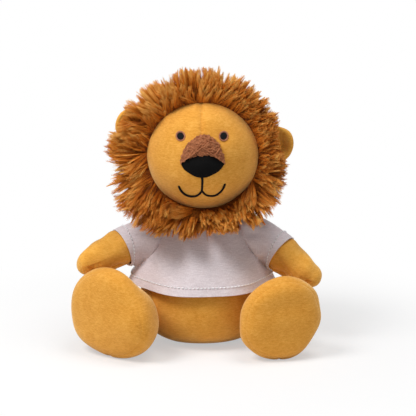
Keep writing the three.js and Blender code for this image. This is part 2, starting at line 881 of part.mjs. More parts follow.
// A line of thread on the face through points, of one width.
function faceLine(path, width, thickness, steps) {
  const curve = new THREE.SplineCurve(path.map(([x, z]) => new THREE.Vector2(x, z)));
  const rings = [];
  for (let i = 0; i <= steps; i += 1) {
    const at = curve.getPoint(i / steps);
    const ahead = curve.getTangent(i / steps);
    const across = new THREE.Vector2(-ahead.y, ahead.x).multiplyScalar(width / 2);
    rings.push([
      facePoint(at.x - across.x, at.y - across.y, featureLift),
      facePoint(at.x + across.x, at.y + across.y, featureLift),
      facePoint(at.x + across.x / 2, at.y + across.y / 2, featureLift + thickness),
      facePoint(at.x - across.x / 2, at.y - across.y / 2, featureLift + thickness),
    ]);
  }
  const centre = (ring) =>
    ring.reduce((sum, point) => sum.add(point), new THREE.Vector3()).multiplyScalar(1 / ring.length);
  return solid(cappedForm(centre(rings[0]), rings, centre(rings[steps])));
}

function circleOutline(x, z, radius, count) {
  return ovalRing(count, (angle) => [x + Math.cos(angle) * radius, z + Math.sin(angle) * radius]);
}

function addEye(name, sign) {
  const x = (sign * eyeSpacing) / 2;
  const middle = [x, eyeHeight];
  const disc = facePad(middle, circleOutline(x, eyeHeight, eyeDiameter / 2, eyeSides), eyeThickness, 1);
  addPiece(lion, `eye_${name}`, disc, blackThread);
  const rimInner = eyeDiameter / 2 + pieceGap;
  const rings = [
    [rimInner, featureLift],
    [eyeRimDiameter / 2, featureLift],
    [eyeRimDiameter / 2, featureLift + eyeRimThickness],
    [rimInner, featureLift + eyeRimThickness],
  ].map(([radius, lift]) =>
    circleOutline(x, eyeHeight, radius, eyeRimSides).map((point) => facePoint(point[0], point[1], lift)),
  );
  addPiece(lion, `eye_rim_${name}`, bandForm(rings), paleThread);
}

function addFace() {
  for (const side of sides) addEye(side.name, side.sign);

  // The nose is an almond: two arcs that meet at its corners
  const noseHalf = noseWidth / 2;
  const noseAt = (angle) => {
    const across = Math.cos(angle);
    const arch = Math.sin(angle) > 0 ? noseTopHeight : noseBottomHeight;
    const bow = Math.abs(Math.sin(angle)) ** noseBowPower;
    return [across * noseHalf, noseCornerHeight + (arch - noseCornerHeight) * bow];
  };
  const noseMiddle = [0, (noseTopHeight + noseBottomHeight) / 2];
  const nosePad = facePad(noseMiddle, ovalRing(noseSides, noseAt), noseThickness, padRings);
  addPiece(lion, 'nose', nosePad, blackThread);

  // The bridge is a dome over the nose, and its lower edge follows the nose's upper one
  const bridgeHalf = bridgeWidth / 2;
  const noseEdge = (share) =>
    THREE.MathUtils.lerp(noseCornerHeight, noseTopHeight, Math.max(0, 1 - share ** 2) ** (noseBowPower / 2));
  const bridgeOutline = [];
  for (let i = 0; i < bridgeSteps; i += 1) {
    const share = -1 + (2 * i) / bridgeSteps;
    const dome = (1 - Math.abs(share) ** bridgeSidePower) ** bridgeTopPower;
    const top = THREE.MathUtils.lerp(bridgeCornerHeight, bridgeTopHeight, dome);
    bridgeOutline.push([share * bridgeHalf, top]);
  }
  for (let i = 0; i < bridgeSteps; i += 1) {
    const share = 1 - (2 * i) / bridgeSteps;
    const edge = noseEdge(share) + 2 * pieceGap;
    bridgeOutline.push([share * bridgeHalf, Math.max(edge, bridgeCornerHeight - 2 * pieceGap)]);
  }
  const bridgeMiddle = [0, (bridgeTopHeight + noseTopHeight) / 2];
  addPiece(lion, 'nose_bridge', facePad(bridgeMiddle, bridgeOutline, bridgeThickness, padRings), fleece);

  const half = mouthWidth / 2;
  let mouth = faceLine(
    [
      [0, mouthTopHeight],
      [0, (mouthTopHeight + mouthMeetHeight) / 2],
      [0, mouthMeetHeight],
    ],
    mouthLineWidth,
    mouthThickness,
    1,
  );
  for (const side of sides) {
    const path = mouthCurveShares.map(([out, down]) => [
      side.sign * half * out,
      mouthMeetHeight - mouthDip * down,
    ]);
    path.push([side.sign * half, mouthMeetHeight + mouthRise]);
    mouth = mouth.add(faceLine(path, mouthLineWidth, mouthThickness, mouthSteps));
  }
  addPiece(lion, 'mouth_stitching', geometryOf(mouth), blackThread);
}

// A form along a route in space: rings square to the route, with one radius at each.
function routedForm(curve, radii, count) {
  const rings = radii.slice(1, -1).map(([share, radius]) => {
    const at = curve.getPointAt(share);
    const ahead = curve.getTangentAt(share);
    const across = new THREE.Vector3(-ahead.y, ahead.x, 0).normalize();
    const up = new THREE.Vector3().crossVectors(ahead, across);
    return ovalRing(count, (angle) =>
      at
        .clone()
        .addScaledVector(across, Math.cos(angle) * radius)
        .addScaledVector(up, Math.sin(angle) * radius),
    );
  });
  const start = curve.getPointAt(radii[0][0]);
  const end = curve.getPointAt(radii[radii.length - 1][0]);
  return cappedForm(start, rings, end);
}

function addTail() {
  const group = new THREE.Group();
  group.position.set(0, tailPlace, tailHeight);
  lion.add(group);
  const drop = tailHeight - tailRadius - tailFloorGap;
  const route = new THREE.CatmullRomCurve3(
    tailRouteShares.map(
      ([across, back, down]) => new THREE.Vector3(across * tailSweep, back * tailReach, -down * drop),
    ),
  );
  const radii = tailRadiusShares.map(([share, radius]) => [share, radius * tailRadius]);
  const cord = solid(routedForm(route, radii, tailSides)).add(solid(ball(tailRootRadius, 0, 0, 0)));
  addPiece(group, 'tail', geometryOf(cord), plush);

  const end = route.getPointAt(1);
  const onward = route.getTangentAt(1);
  const tuftRoute = new THREE.LineCurve3(
    end.clone().addScaledVector(onward, 2 * pieceGap),
    end.clone().addScaledVector(onward, tailTuftLength),
  );
  const tuft = tuftRadiusShares.map(([share, radius]) => [share, radius * tailTuftRadius]);
  addPiece(group, 'tail_tuft', routedForm(tuftRoute, tuft, tuftSides), fur);
}

addBody();
addShirt();
addHead();
addMane();
addFace();
addTail();
for (const side of sides) {
  addArm(side);
  addLeg(side);
  addEar(side);
}

export default lion;
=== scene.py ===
# Looks of a seated plush lion in a T-shirt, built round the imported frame. Metres, +Z up, its face towards -Y.
import math

import bpy
import numpy as np
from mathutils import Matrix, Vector
from mathutils.kdtree import KDTree


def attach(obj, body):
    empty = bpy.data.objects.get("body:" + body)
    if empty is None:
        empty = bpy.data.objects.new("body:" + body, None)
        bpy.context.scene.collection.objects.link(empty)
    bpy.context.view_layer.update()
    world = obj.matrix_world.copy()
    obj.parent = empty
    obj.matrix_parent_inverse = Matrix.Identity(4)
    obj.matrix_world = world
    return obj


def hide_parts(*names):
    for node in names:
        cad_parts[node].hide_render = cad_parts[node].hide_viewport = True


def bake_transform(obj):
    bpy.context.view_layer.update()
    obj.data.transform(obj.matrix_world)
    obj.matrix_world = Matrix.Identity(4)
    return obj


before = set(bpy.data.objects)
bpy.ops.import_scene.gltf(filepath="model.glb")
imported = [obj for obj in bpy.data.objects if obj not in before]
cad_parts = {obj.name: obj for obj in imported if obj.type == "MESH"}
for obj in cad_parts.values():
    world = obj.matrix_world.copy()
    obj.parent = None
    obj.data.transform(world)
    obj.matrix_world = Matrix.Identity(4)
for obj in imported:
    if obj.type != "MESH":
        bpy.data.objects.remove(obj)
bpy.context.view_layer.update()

random = np.random.default_rng(7)
MM = 0.001
HAIRS_PER_MESH = 7500


# Curves through rows of numbers


def catmull(points, steps):
    """A centripetal curve through the rows, with this many steps between two rows."""
    points = np.asarray(points, float)
    ghost_start = 2 * points[0] - points[1]
    ghost_end = 2 * points[-1] - points[-2]
    p = np.vstack([ghost_start, points, ghost_end])

    def between(a, b, start, end):
        return (end - t) / (end - start) * a + (t - start) / (end - start) * b

    made = []
    for i in range(1, len(p) - 2):
        p0, p1, p2, p3 = p[i - 1], p[i], p[i + 1], p[i + 2]
        t1 = max(np.linalg.norm(p1 - p0), 1e-9) ** 0.5
        t2 = t1 + max(np.linalg.norm(p2 - p1), 1e-9) ** 0.5
        t3 = t2 + max(np.linalg.norm(p3 - p2), 1e-9) ** 0.5
        last = steps + 1 if i == len(p) - 3 else steps
        for k in range(last):
            t = t1 + (t2 - t1) * k / steps
            a1, a2, a3 = between(p0, p1, 0, t1), between(p1, p2, t1, t2), between(p2, p3, t2, t3)
            made.append(between(between(a1, a2, 0, t2), between(a2, a3, t1, t3), t1, t2))
    return np.array(made)


def capped_profile(rows, steps):
    """A smooth profile through rows whose first and last have no width: it is mirrored past them to round them."""
    rows = np.asarray(rows, float)
    before = rows[1].copy()
    before[1:3] *= -1
    after = rows[-2].copy()
    after[1:3] *= -1
    curve = catmull(np.vstack([before, rows, after]), steps)
    return curve[steps : len(curve) - steps]


# Meshes


def grid_faces(rows, columns):
    """Quads of a grid of points, row by row, whose columns meet round the form."""
    faces = []
    for r in range(rows - 1):
        for c in range(columns):
            n = (c + 1) % columns
            faces.append((r * columns + c, r * columns + n, (r + 1) * columns + n, (r + 1) * columns + c))
    return faces


def new_object(name, data):
    made = bpy.data.objects.new(name, data)
    bpy.context.scene.collection.objects.link(made)
    return made


def new_mesh(name, points, faces):
    mesh = bpy.data.meshes.new(name)
    mesh.from_pydata(np.asarray(points, float).tolist(), [], faces)
    mesh.update()
    mesh.polygons.foreach_set("use_smooth", np.ones(len(mesh.polygons), bool))
    return new_object(name, mesh)


def face_outwards(obj):
    """Turns a closed mesh's faces outwards."""
    mesh = obj.data
    mesh.calc_loop_triangles()
    a, b, c = points_of(obj)[np.array([t.vertices for t in mesh.loop_triangles])].transpose(1, 0, 2)
    if (a * np.cross(b, c)).sum() < 0:
        mesh.flip_normals()
    return obj


def closed_form(name, rings, first, last):
    """A closed mesh through rings of points, with a point at each end, all in mm."""
    rings = np.asarray(rings, float)
    rows, columns = rings.shape[:2]
    points = np.vstack([rings.reshape(-1, 3), [first], [last]]) * MM
    faces = grid_faces(rows, columns)
    start, end, base = rows * columns, rows * columns + 1, (rows - 1) * columns
    for c in range(columns):
        n = (c + 1) % columns
        faces.append((start, n, c))
        faces.append((end, base + c, base + n))
    return face_outwards(new_mesh(name, points, faces))


def band_form(name, rings):
    """A closed band of rings in mm: each follows the one before, and the last joins the first."""
    rings = np.asarray(rings, float)
    rows, columns = rings.shape[:2]
    faces = grid_faces(rows, columns)
    base = (rows - 1) * columns
    for c in range(columns):
        n = (c + 1) % columns
        faces.append((base + c, base + n, n, c))
    return face_outwards(new_mesh(name, rings.reshape(-1, 3) * MM, faces))


def around(count):
    return np.arange(count) / count * math.tau


def compass(count):
    """The cosine and sine of angles all the way round."""
    return np.cos(around(count)), np.sin(around(count))


def xyz(x, y, z):
    """Points from their places along X, Y and Z, any of which may be one number for all."""
    return np.stack(np.broadcast_arrays(x, y, z), -1)


def unit(ways):
    return ways / np.maximum(np.linalg.norm(ways, axis=-1, keepdims=True), 1e-9)


def points_of(obj):
    return np.array([v.co for v in obj.data.vertices], float)


def set_points(obj, points):
    obj.data.vertices.foreach_set("co", np.asarray(points, np.float32).ravel())
    obj.data.update()


def normals_of(obj):
    flat = np.zeros(len(obj.data.vertices) * 3, np.float32)
    obj.data.vertex_normals.foreach_get("vector", flat)
    return flat.reshape(-1, 3).astype(float)


def smoothstep(value, low, high):
    t = np.clip((value - low) / (high - low), 0, 1)
    return t * t * (3 - 2 * t)


def waves(points, size, seed, count=5):
    """Soft lumps: a few sine waves in seeded directions, from -1 to 1 or so, about that size apart."""
    made = np.random.default_rng(seed)
    total = np.zeros(len(points))
    for _ in range(count):
        direction = made.normal(size=3)
        direction /= np.linalg.norm(direction)
        length = size * made.uniform(0.7, 1.5)
        total += np.sin(points @ direction * math.tau / length + made.uniform(0, math.tau))
    return total / math.sqrt(count)


def run_along(path):
    """How far along a path each of its points is."""
    return np.concatenate([[0], np.cumsum(np.linalg.norm(np.diff(path, axis=0), axis=1))])


def distance_to_path(points, path):
    """How far each point is from a line through the path's points."""
    path = np.asarray(path, float)
    best = np.full(len(points), 1e9)
    for a, b in zip(path[:-1], path[1:]):
        d = b - a
        t = np.clip(((points - a) @ d) / max(d @ d, 1e-12), 0, 1)
        best = np.minimum(best, np.linalg.norm(points - a - t[:, None] * d, axis=1))
    return best


def press(obj, amount):
    """Moves each point along its normal by its amount."""
    set_points(obj, points_of(obj) + normals_of(obj) * np.asarray(amount)[:, None])


def seam(obj, distance, depth, width, pucker=0.0, pitch=0.0, along=None):
    """Sinks a sewn seam into a stuffed form: a fine groove in a shallow valley, with small puckers across it."""
    fine = np.exp(-((distance / (width * 0.35)) ** 2))
    wide = np.exp(-((distance / (width * 1.6)) ** 2))
    amount = -depth * (0.55 * fine + 0.45 * wide)
    if pucker and along is not None:
        near = np.exp(-((distance / (width * 1.8)) ** 2)) * (1 - fine)
        amount += pucker * near * np.sin(along * math.tau / pitch)
    press(obj, amount)


# Materials


def srgb(red, green, blue):
    """A colour from 0 to 255 numbers, as the shader takes it."""
    made = []
    for value in (red, green, blue):
        share = value / 255
        made.append(share / 12.92 if share <= 0.04045 else ((share + 0.055) / 1.055) ** 2.4)
    return (*made, 1.0)


WHITE = (1, 1, 1, 1)


class Nodes:
    """A node tree, with short ways to add nodes and links."""

    def __init__(self, tree):
        self.tree = tree
        tree.nodes.clear()

    def node(self, kind, inputs=(), **values):
        """A node with its own values, and its inputs set or linked."""
        made = self.tree.nodes.new(kind)
        for key, value in values.items():
            setattr(made, key, value)
        for key, value in dict(inputs).items():
            if isinstance(value, bpy.types.NodeSocket):
                self.tree.links.new(value, made.inputs[key])
            else:
                made.inputs[key].default_value = value
        return made

    def maths(self, kind, a, b):
        return self.node("ShaderNodeMath", {0: a, 1: b}, operation=kind).outputs[0]

    def added(self, *parts):
        """The sum of values, each times its share."""
        scaled = [self.maths("MULTIPLY", value, share) for value, share in parts]
        total = scaled[0]
        for value in scaled[1:]:
            total = self.maths("ADD", total, value)
        return total


class Cloth(Nodes):
    """A material's nodes."""

    def __init__(self, name, roughness, sheen=0.0, sheen_tint=WHITE, specular=0.3):
        self.material = bpy.data.materials.new(name)
        self.material.use_nodes = True
        super().__init__(self.material.node_tree)
        self.shader = self.node("ShaderNodeBsdfPrincipled", {
            "Roughness": roughness,
            "Sheen Weight": sheen,
            "Sheen Roughness": 0.45,
            "Sheen Tint": sheen_tint,
            "Specular IOR Level": specular,
        })
        self.node("ShaderNodeOutputMaterial", {0: self.shader.outputs[0]})
        self.place = self.node("ShaderNodeTexCoord").outputs["Object"]

    def shade(self, socket, value):
        self.tree.links.new(value, self.shader.inputs[socket])

    def stretched(self, scale, turn=(0, 0, 0)):
        inputs = {"Scale": scale, "Rotation": turn, "Vector": self.place}
        return self.node("ShaderNodeMapping", inputs).outputs[0]

    def noise(self, scale, detail=2.0, rough=0.5, place=None, distortion=0.0):
        inputs = {"Scale": scale, "Detail": detail, "Roughness": rough, "Distortion": distortion}
        inputs["Vector"] = place or self.place
        return self.node("ShaderNodeTexNoise", inputs).outputs["Fac"]

    def curls(self, scale):
        inputs = {"Scale": scale, "Smoothness": 0.6, "Vector": self.place}
        return self.node("ShaderNodeTexVoronoi", inputs, feature="SMOOTH_F1").outputs["Distance"]

    def attribute(self, name):
        return self.node("ShaderNodeAttribute", attribute_name=name).outputs["Fac"]

    def colour(self, value, stops):
        """The cloth's colour, from a value and the places and colours that it runs through."""
        made = self.node("ShaderNodeValToRGB", {0: value})
        ramp = made.color_ramp
        while len(ramp.elements) < len(stops):
            ramp.elements.new(0.5)
        for element, (place, colour) in zip(ramp.elements, stops):
            element.position = place
            element.color = colour
        self.shade("Base Color", made.outputs[0])

    def rough(self, value, low, high):
        made = self.node("ShaderNodeMapRange", {"To Min": low, "To Max": high, "Value": value})
        self.shade("Roughness", made.outputs[0])

    def bump(self, layers):
        """Bumps from (height, strength, depth in metres), one on the other."""
        below = {}
        for height, strength, depth in layers:
            made = self.node("ShaderNodeBump", {"Strength": strength, "Distance": depth, "Height": height, **below})
            below = {"Normal": made.outputs[0]}
        self.shade("Normal", made.outputs[0])


def velour(name, dark, mid, light):
    """Short brushed pile: softly paler where the nap lies over, with a fine grain, and it glows at its edges."""
    m = Cloth(name, 0.95, sheen=0.85, sheen_tint=srgb(255, 226, 170), specular=0.05)
    nap = m.noise(110, 2, 0.5, distortion=0.5)
    streaks = m.noise(1, 2, 0.6, place=m.stretched((420, 420, 1300), (0.06, 0.04, 0.3)))
    fine = m.noise(2600, 2, 0.6)
    m.colour(m.added((nap, 0.2), (streaks, 0.4), (fine, 0.4)), [(0.31, dark), (0.5, mid), (0.69, light)])
    m.rough(nap, 0.9, 1.0)
    m.bump([(nap, 0.1, 0.001), (streaks, 0.35, 0.0005), (fine, 0.4, 0.0003)])
    return m.material


def long_fur(name):
    """Fur strands, each lock of its own tone, painted dark at the root as painted shade deep in the fur, and paler
    at the tip.
    """
    m = Cloth(name, 0.6, sheen=0.1, sheen_tint=srgb(255, 200, 120), specular=0.2)
    flecks = m.maths("SUBTRACT", m.noise(420, 2, 0.6), 0.5)
    # Painted shade: each hair darkens towards its root, by its place along it
    value = m.added((m.attribute("tone"), 0.5), (m.attribute("along"), 0.5), (flecks, 0.25))
    pale = [(0.62, srgb(230, 140, 42)), (0.88, srgb(252, 194, 100))]
    m.colour(value, [(0.16, srgb(96, 42, 6)), (0.4, srgb(184, 98, 18)), *pale])
    m.rough(m.noise(900, 1, 0.5), 0.5, 0.75)
    m.bump([(m.noise(3000, 1, 0.5), 0.2, 0.0002)])
    return m.material


def fur_ground(name):
    """The cloth that the fur grows from, seen between its locks."""
    m = Cloth(name, 0.95, specular=0.05)
    m.colour(m.noise(900, 3, 0.7), [(0.3, srgb(84, 40, 8)), (0.7, srgb(140, 78, 24))])
    m.rough(m.noise(300, 2, 0.5), 0.88, 1.0)
    m.bump([(m.noise(1200, 3, 0.6), 0.8, 0.0012)])
    return m.material


def jersey(name):
    """Thin white knit: fine rows of loops, with faint streaks of thicker yarn."""
    m = Cloth(name, 0.88, sheen=0.12, specular=0.2)
    rows = m.noise(1, 2, 0.6, place=m.stretched((260, 260, 2100)))
    ribs = m.noise(1, 1, 0.5, place=m.stretched((1900, 1900, 420)))
    tones = [(0.3, srgb(206, 194, 197)), (0.5, srgb(220, 209, 212)), (0.7, srgb(234, 225, 228))]
    m.colour(m.added((rows, 0.6), (ribs, 0.4)), tones)
    m.rough(rows, 0.8, 0.95)
    m.bump([(rows, 0.35, 0.0004), (ribs, 0.3, 0.0003), (m.noise(4200, 1, 0.5), 0.25, 0.0002)])
    return m.material


def fleece(name):
    """Curly brown fleece."""
    m = Cloth(name, 0.95, sheen=0.3, sheen_tint=srgb(255, 200, 160), specular=0.1)
    curl = m.curls(1000)
    fluff = m.noise(1500, 3, 0.65, distortion=1.5)
    m.colour(fluff, [(0.2, srgb(122, 68, 40)), (0.5, srgb(172, 106, 70)), (0.75, srgb(204, 138, 98))])
    m.rough(fluff, 0.85, 1.0)
    m.bump([(fluff, 0.8, 0.0009), (curl, 0.6, 0.0006)])
    return m.material


def thread(name, dark, light, gloss, pitch, turn):
    """Embroidery floss: fine parallel threads with a little shine."""
    m = Cloth(name, gloss, specular=0.12)
    lines = m.noise(1, 1, 0.5, place=m.stretched(pitch, turn))
    m.colour(lines, [(0.3, dark), (0.7, light)])
    m.rough(lines, gloss - 0.08, gloss + 0.15)
    m.bump([(lines, 0.55, 0.0004)])
    return m.material


amber = velour("amber_plush", srgb(198, 128, 41), srgb(220, 154, 61), srgb(238, 178, 88))
# Painted light: the arms and ears get a paler copy of the velour, which stands in for stronger light falling on
# them
amber_painted_lighter = velour("amber_plush_painted_lighter", srgb(210, 139, 48), srgb(233, 168, 70), srgb(248, 191, 98))
fur = long_fur("mane_fur")
ground = fur_ground("fur_ground")
white_knit = jersey("white_jersey")
brown_fleece = fleece("brown_fleece")
nose_cloth = thread("nose_satin", srgb(3, 3, 3), srgb(9, 8, 8), 0.85, (2400, 2400, 300), (0, 0, 0))
black_floss = thread("black_floss", srgb(7, 6, 7), srgb(20, 18, 19), 0.7, (2600, 500, 2600), (0, 0.6, 0))
pale_floss = thread("pale_floss", srgb(140, 84, 60), srgb(190, 130, 100), 0.6, (2600, 600, 2600), (0, -0.5, 0))
white_thread = thread("white_thread", srgb(244, 242, 244), srgb(252, 251, 252), 0.6, (2600, 2600, 900), (0, 0, 0))


def finish_piece(obj, material, body, replaced=()):
    """Gives a piece its material and slot, the nodes it stands for and the body it rides on."""
    obj.data.materials.clear()
    obj.data.materials.append(material)
    if replaced:
        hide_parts(*replaced)
    if body:
        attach(obj, body)


# Body: a pear of velour that sits on the floor

# Height, half width, half depth and lean
BODY_ROWS = np.array([
    [-0.5, 0, 0, -0.9], [0, 17, 16.4, -1.2], [2.5, 28.9, 27.9, -1.8], [8.8, 37.4, 36.1, -2.4],
    [18.2, 41.7, 40.2, -3], [28.4, 42.4, 41, -3], [38.6, 39.4, 38.7, -2.7], [48.8, 33.5, 34, -2.1],
    [59, 29.3, 29.5, -1.5], [68.4, 27.6, 25.8, -1.1], [76, 24.6, 21.3, -1.1], [81.1, 17, 15.2, -1.5],
    [83.7, 8.5, 7.8, -1.8], [84.5, 0, 0, -2.1],
])


def oval(profile, columns):
    """Oval rings from rows of height, half width, half depth and lean."""
    x, y = compass(columns)
    return np.array([xyz(x * wide, lean + y * deep, height) for height, wide, deep, lean in profile])


def above_floor(obj):
    points = points_of(obj)
    points[:, 2] = np.maximum(points[:, 2], 0)
    set_points(obj, points)


def make_body():
    profile = capped_profile(BODY_ROWS, 12)
    ends = [(0, row[3], max(row[0], 0)) for row in profile[[0, -1]]]
    body = closed_form("body_velour", oval(profile[1:-1], 300), *ends)
    points = points_of(body)
    press(body, waves(points, 0.03, 3) * 0.00035)
    side = np.abs(points[:, 1] + 0.0015)
    seam(body, side, 0.0014, 0.0016, 0.00016, 0.0042, points[:, 2])
    tuck = [(0.0012, -0.044, 0.0), (0.0014, -0.0435, 0.0065)]
    seam(body, distance_to_path(points, tuck), 0.0016, 0.0012)
    above_floor(body)
    nodes = ("body_front_panel", "body_back_panel", "body_stuffing", "pellet_bag")
    finish_piece(body, amber, "torso", nodes)


# Limbs


def turned(points, degrees, axis):
    c, s = math.cos(math.radians(degrees)), math.sin(math.radians(degrees))
    matrix = {"y": [[c, 0, s], [0, 1, 0], [-s, 0, c]], "z": [[c, -s, 0], [s, c, 0], [0, 0, 1]]}[axis]
    return points @ np.array(matrix).T


# Rows of place along the leg, half width, half height and how far the axis has risen, each in its own share
THIGH_ROWS = {
    "left": [[0.16, 0.47, 0.47, 0.06], [0.28, 0.55, 0.57, 0.25], [0.42, 0.69, 0.7, 0.5], [0.58, 0.9, 0.9, 0.8]],
    "right": [[0.16, 0.47, 0.45, 0], [0.28, 0.71, 0.56, 0.1], [0.42, 0.9, 0.72, 0.35], [0.58, 0.98, 0.91, 0.7]],
}
# How far each foot leans to its side over its height, how much wider it is below, and its shift in mm
FOOT_SHAPE = {"left": (0.1, 0.03, 1.5), "right": (0.07, 0.11, 1.0)}
FOOT_ENDS = ((0.7, 1), (0.79, 0.985), (0.87, 0.92), (0.93, 0.8), (0.97, 0.61), (0.993, 0.32), (1, 0))
FOOT_ROWS = [[place, half, half, 1] for place, half in FOOT_ENDS]
LEG_LENGTH, HIP_ROUND, HIP_HEIGHT, PRESSED = 41, 15, 22, 0.5
HIP = np.array([40, -22.5, HIP_HEIGHT])
SOLE_SEAM = 35.7


def make_leg(name, sign, splay, wide, high, seed):
    lift = high / 2 - PRESSED - HIP_HEIGHT
    root = [[-HIP_ROUND, 0, 0, 0]]
    for share in (-0.866, -0.5, 0):
        root.append([share * HIP_ROUND, *[math.sqrt(1 - share ** 2) * HIP_ROUND] * 2, 0])
    rows = np.array(THIGH_ROWS[name] + FOOT_ROWS) * [LEG_LENGTH, wide / 2, high / 2, lift]
    profile = capped_profile(np.vstack([root, rows]), 11)
    x, z = compass(240)
    rings = [xyz(x * half, -along, rise + z * tall) for along, half, tall, rise in profile[1:-1]]
    leg = closed_form(f"leg_{name}_velour", rings, (0, HIP_ROUND, 0), (0, -LEG_LENGTH, lift))
    local = points_of(leg)
    lean, pear, shift = FOOT_SHAPE[name]
    foot = smoothstep(-local[:, 1], 0.012, 0.03)
    above = local[:, 2] - lift * MM
    local[:, 0] *= 1 - foot * pear * above / (high / 2 * MM)
    local[:, 0] += sign * foot * (lean * above + shift * MM)
    set_points(leg, local)
    press(leg, waves(local, 0.022, seed, 4) * 0.0006)
    sole = np.abs(-local[:, 1] - SOLE_SEAM * MM)
    seam(leg, sole, 0.0005, 0.0011)
    under = np.where(local[:, 2] < 0, np.abs(local[:, 0]), 1)
    under = np.where(-local[:, 1] < SOLE_SEAM * MM, under, 1)
    seam(leg, under, 0.0008, 0.0012)
    set_points(leg, turned(points_of(leg), sign * splay, "z") + HIP * [sign, 1, 1] * MM)
    above_floor(leg)
    nodes = [f"leg_{name}_{part}" for part in ("skin", "sole", "stuffing")]
    finish_piece(leg, amber, f"leg_{name}", nodes)


# Places along the arm and its half width, slim enough at the root to stay under the sleeve
ARM_ENDS = (
    (-8.5, 0), (-7.4, 4.3), (-4.2, 7.4), (0.0, 8.6), (8.0, 10.0), (14.0, 10.9), (20.5, 11.6),
    (29.7, 11.2), (37.9, 10.1), (44.5, 8.4), (48.9, 5.7), (50.8, 2.4), (51.2, 0),
)
# How far each arm slopes down and how far it points forwards, in degrees
ARM_SLOPE = {"left": (31, 31), "right": (18.5, 28)}
SHOULDER = np.array([36.8, -2, 68.2])


def arm_way(points, name, sign):
    """Turns directions from the arm's own frame, whose X runs out along it."""
    drop, forward = ARM_SLOPE[name]
    return turned(turned(points, sign * drop, "y"), -sign * forward, "z")


def arm_place(points, name, sign):
    return arm_way(points, name, sign) + SHOULDER * [sign, 1, 1] * MM


def make_arm(name, sign, seed):
    profile = capped_profile([[along, half, half] for along, half in ARM_ENDS], 10)
    y, z = compass(160)
    rings = [xyz(sign * along, y * half, z * half) for along, half, _ in profile[1:-1]]
    ends = [(sign * along, 0, 0) for along, _ in (ARM_ENDS[0], ARM_ENDS[-1])]
    arm = closed_form(f"arm_{name}_velour", rings, *ends)
    local = points_of(arm)
    press(arm, waves(local, 0.014, seed) * 0.0007)
    # The seam runs under the arm and round the paw
    below = np.where(local[:, 2] < 0.001, np.abs(local[:, 1] + 0.0075), 1)
    seam(arm, below, 0.0018, 0.0014, 0.0003, 0.0044, local[:, 0])
    if name == "left":
        # The opening that the filling went in by is closed by hand, with small puckers
        closed = [(0.021, -0.0112, 0.001), (0.031, -0.0108, -0.002), (0.042, -0.0085, -0.0045)]
        seam(arm, distance_to_path(points_of(arm), closed), 0.0008, 0.0013, 0.0004, 0.0026, local[:, 0])
    set_points(arm, arm_place(points_of(arm), name, sign))
    # The arm wears the paler velour, with light painted into it
    finish_piece(arm, amber_painted_lighter, f"arm_{name}", (f"arm_{name}_skin", f"arm_{name}_stuffing"))


# Head

HEAD = np.array([0, -6, 124.5])
HEAD_HALF = np.array([39, 40, 37.5])


def muzzle(x, z):
    """How far the cheeks and the muzzle stand out of the round of the head, in mm."""
    snout = 1.8 * np.exp(-((x / 19) ** 2 + ((z - 117.5) / 12) ** 2))
    eyes = sum(0.9 * np.exp(-(((x - e) / 4.2) ** 2 + ((z - 139.5) / 4) ** 2)) for e in (-13.3, 13.3))
    return snout - eyes


def face_point(x, z, lift=0.0):
    """Points on the face in mm, and the way out of it."""
    x, z = np.broadcast_arrays(np.asarray(x, float), np.asarray(z, float))
    a, c = x / HEAD_HALF[0], (z - HEAD[2]) / HEAD_HALF[2]
    b = -np.sqrt(np.maximum(1 - a ** 2 - c ** 2, 0.0004))
    out = unit(xyz(a, b, c) / HEAD_HALF)
    reach = muzzle(x, z) + lift
    return xyz(x, HEAD[1] + b * HEAD_HALF[1], z) + out * reach[..., None], out


def make_head():
    # The poles point forwards and back, so the face's middle is evenly covered
    x, z = compass(280)
    tilt = np.arange(1, 200) / 200 * math.pi
    rings = [HEAD + HEAD_HALF * xyz(np.sin(t) * x, -np.cos(t), np.sin(t) * z) for t in tilt]
    pole = HEAD_HALF * [0, 1, 0]
    head = closed_form("face_velour", rings, HEAD - pole, HEAD + pole)
    points = points_of(head)
    front = smoothstep(-points[:, 1], 0.012, 0.026)
    press(head, muzzle(points[:, 0] / MM, points[:, 2] / MM) * MM * front)
    press(head, waves(points, 0.022, 9) * 0.00025)
    dart = np.where((points[:, 1] < 0) & (points[:, 2] > 0.138), np.abs(points[:, 0] + 0.0006), 1)
    seam(head, dart, 0.0012, 0.0012, 0.00018, 0.003, points[:, 2])
    # The fur hides the back of the head, which lies a little deeper there
    press(head, -0.0008 * smoothstep(points[:, 1], -0.022, -0.015))
    finish_piece(head, amber, "head", ("face_panel", "head_stuffing"))


def face_pad(name, middle, outline, rise, rings=14, edge=0.35, lift=0.1, power=0.5):
    """A closed pad on the face inside an outline, round at its edge."""
    outline = np.asarray(outline, float)
    middle = np.asarray(middle, float)
    over, under = [], []
    for r in range(1, rings + 1):
        share = math.sin(r / rings * math.pi / 2)
        flat = middle + (outline - middle) * share
        height = rise * (edge + (1 - edge) * (1 - share ** 2) ** power)
        over.append(face_point(flat[:, 0], flat[:, 1], lift + height)[0])
        under.append(face_point(flat[:, 0], flat[:, 1], -0.8)[0])
    return closed_form(name, over + under[::-1], face_point(*middle, lift + rise)[0], face_point(*middle, -0.8)[0])


def circle(x, z, radius, count):
    across, up = compass(count)
    return np.stack([x + across * radius, z + up * radius], 1)


def make_eye(name, sign):
    x, z = sign * 13.45 - 0.35, 139.5
    disc = face_pad(f"eye_{name}_thread", (x, z), circle(x, z, 2.15, 64), 0.75, rings=10)
    points = points_of(disc) / MM
    turn = np.arctan2(points[:, 2] - z, points[:, 0] - x)
    press(disc, np.sin(turn * 22) * 0.00003)
    finish_piece(disc, black_floss, "head", (f"eye_{name}",))
    rings = []
    angle = around(96)
    for turn in around(14):
        radius = 2.62 + 0.48 * math.cos(turn)
        lift = 0.15 + 0.38 * math.sin(turn) + 0.05 * np.sin(angle * 30 + turn)
        rings.append(face_point(x + np.cos(angle) * radius, z + np.sin(angle) * radius, lift)[0])
    rim = band_form(f"eye_rim_{name}_thread", rings)
    finish_piece(rim, pale_floss, "head", (f"eye_rim_{name}",))


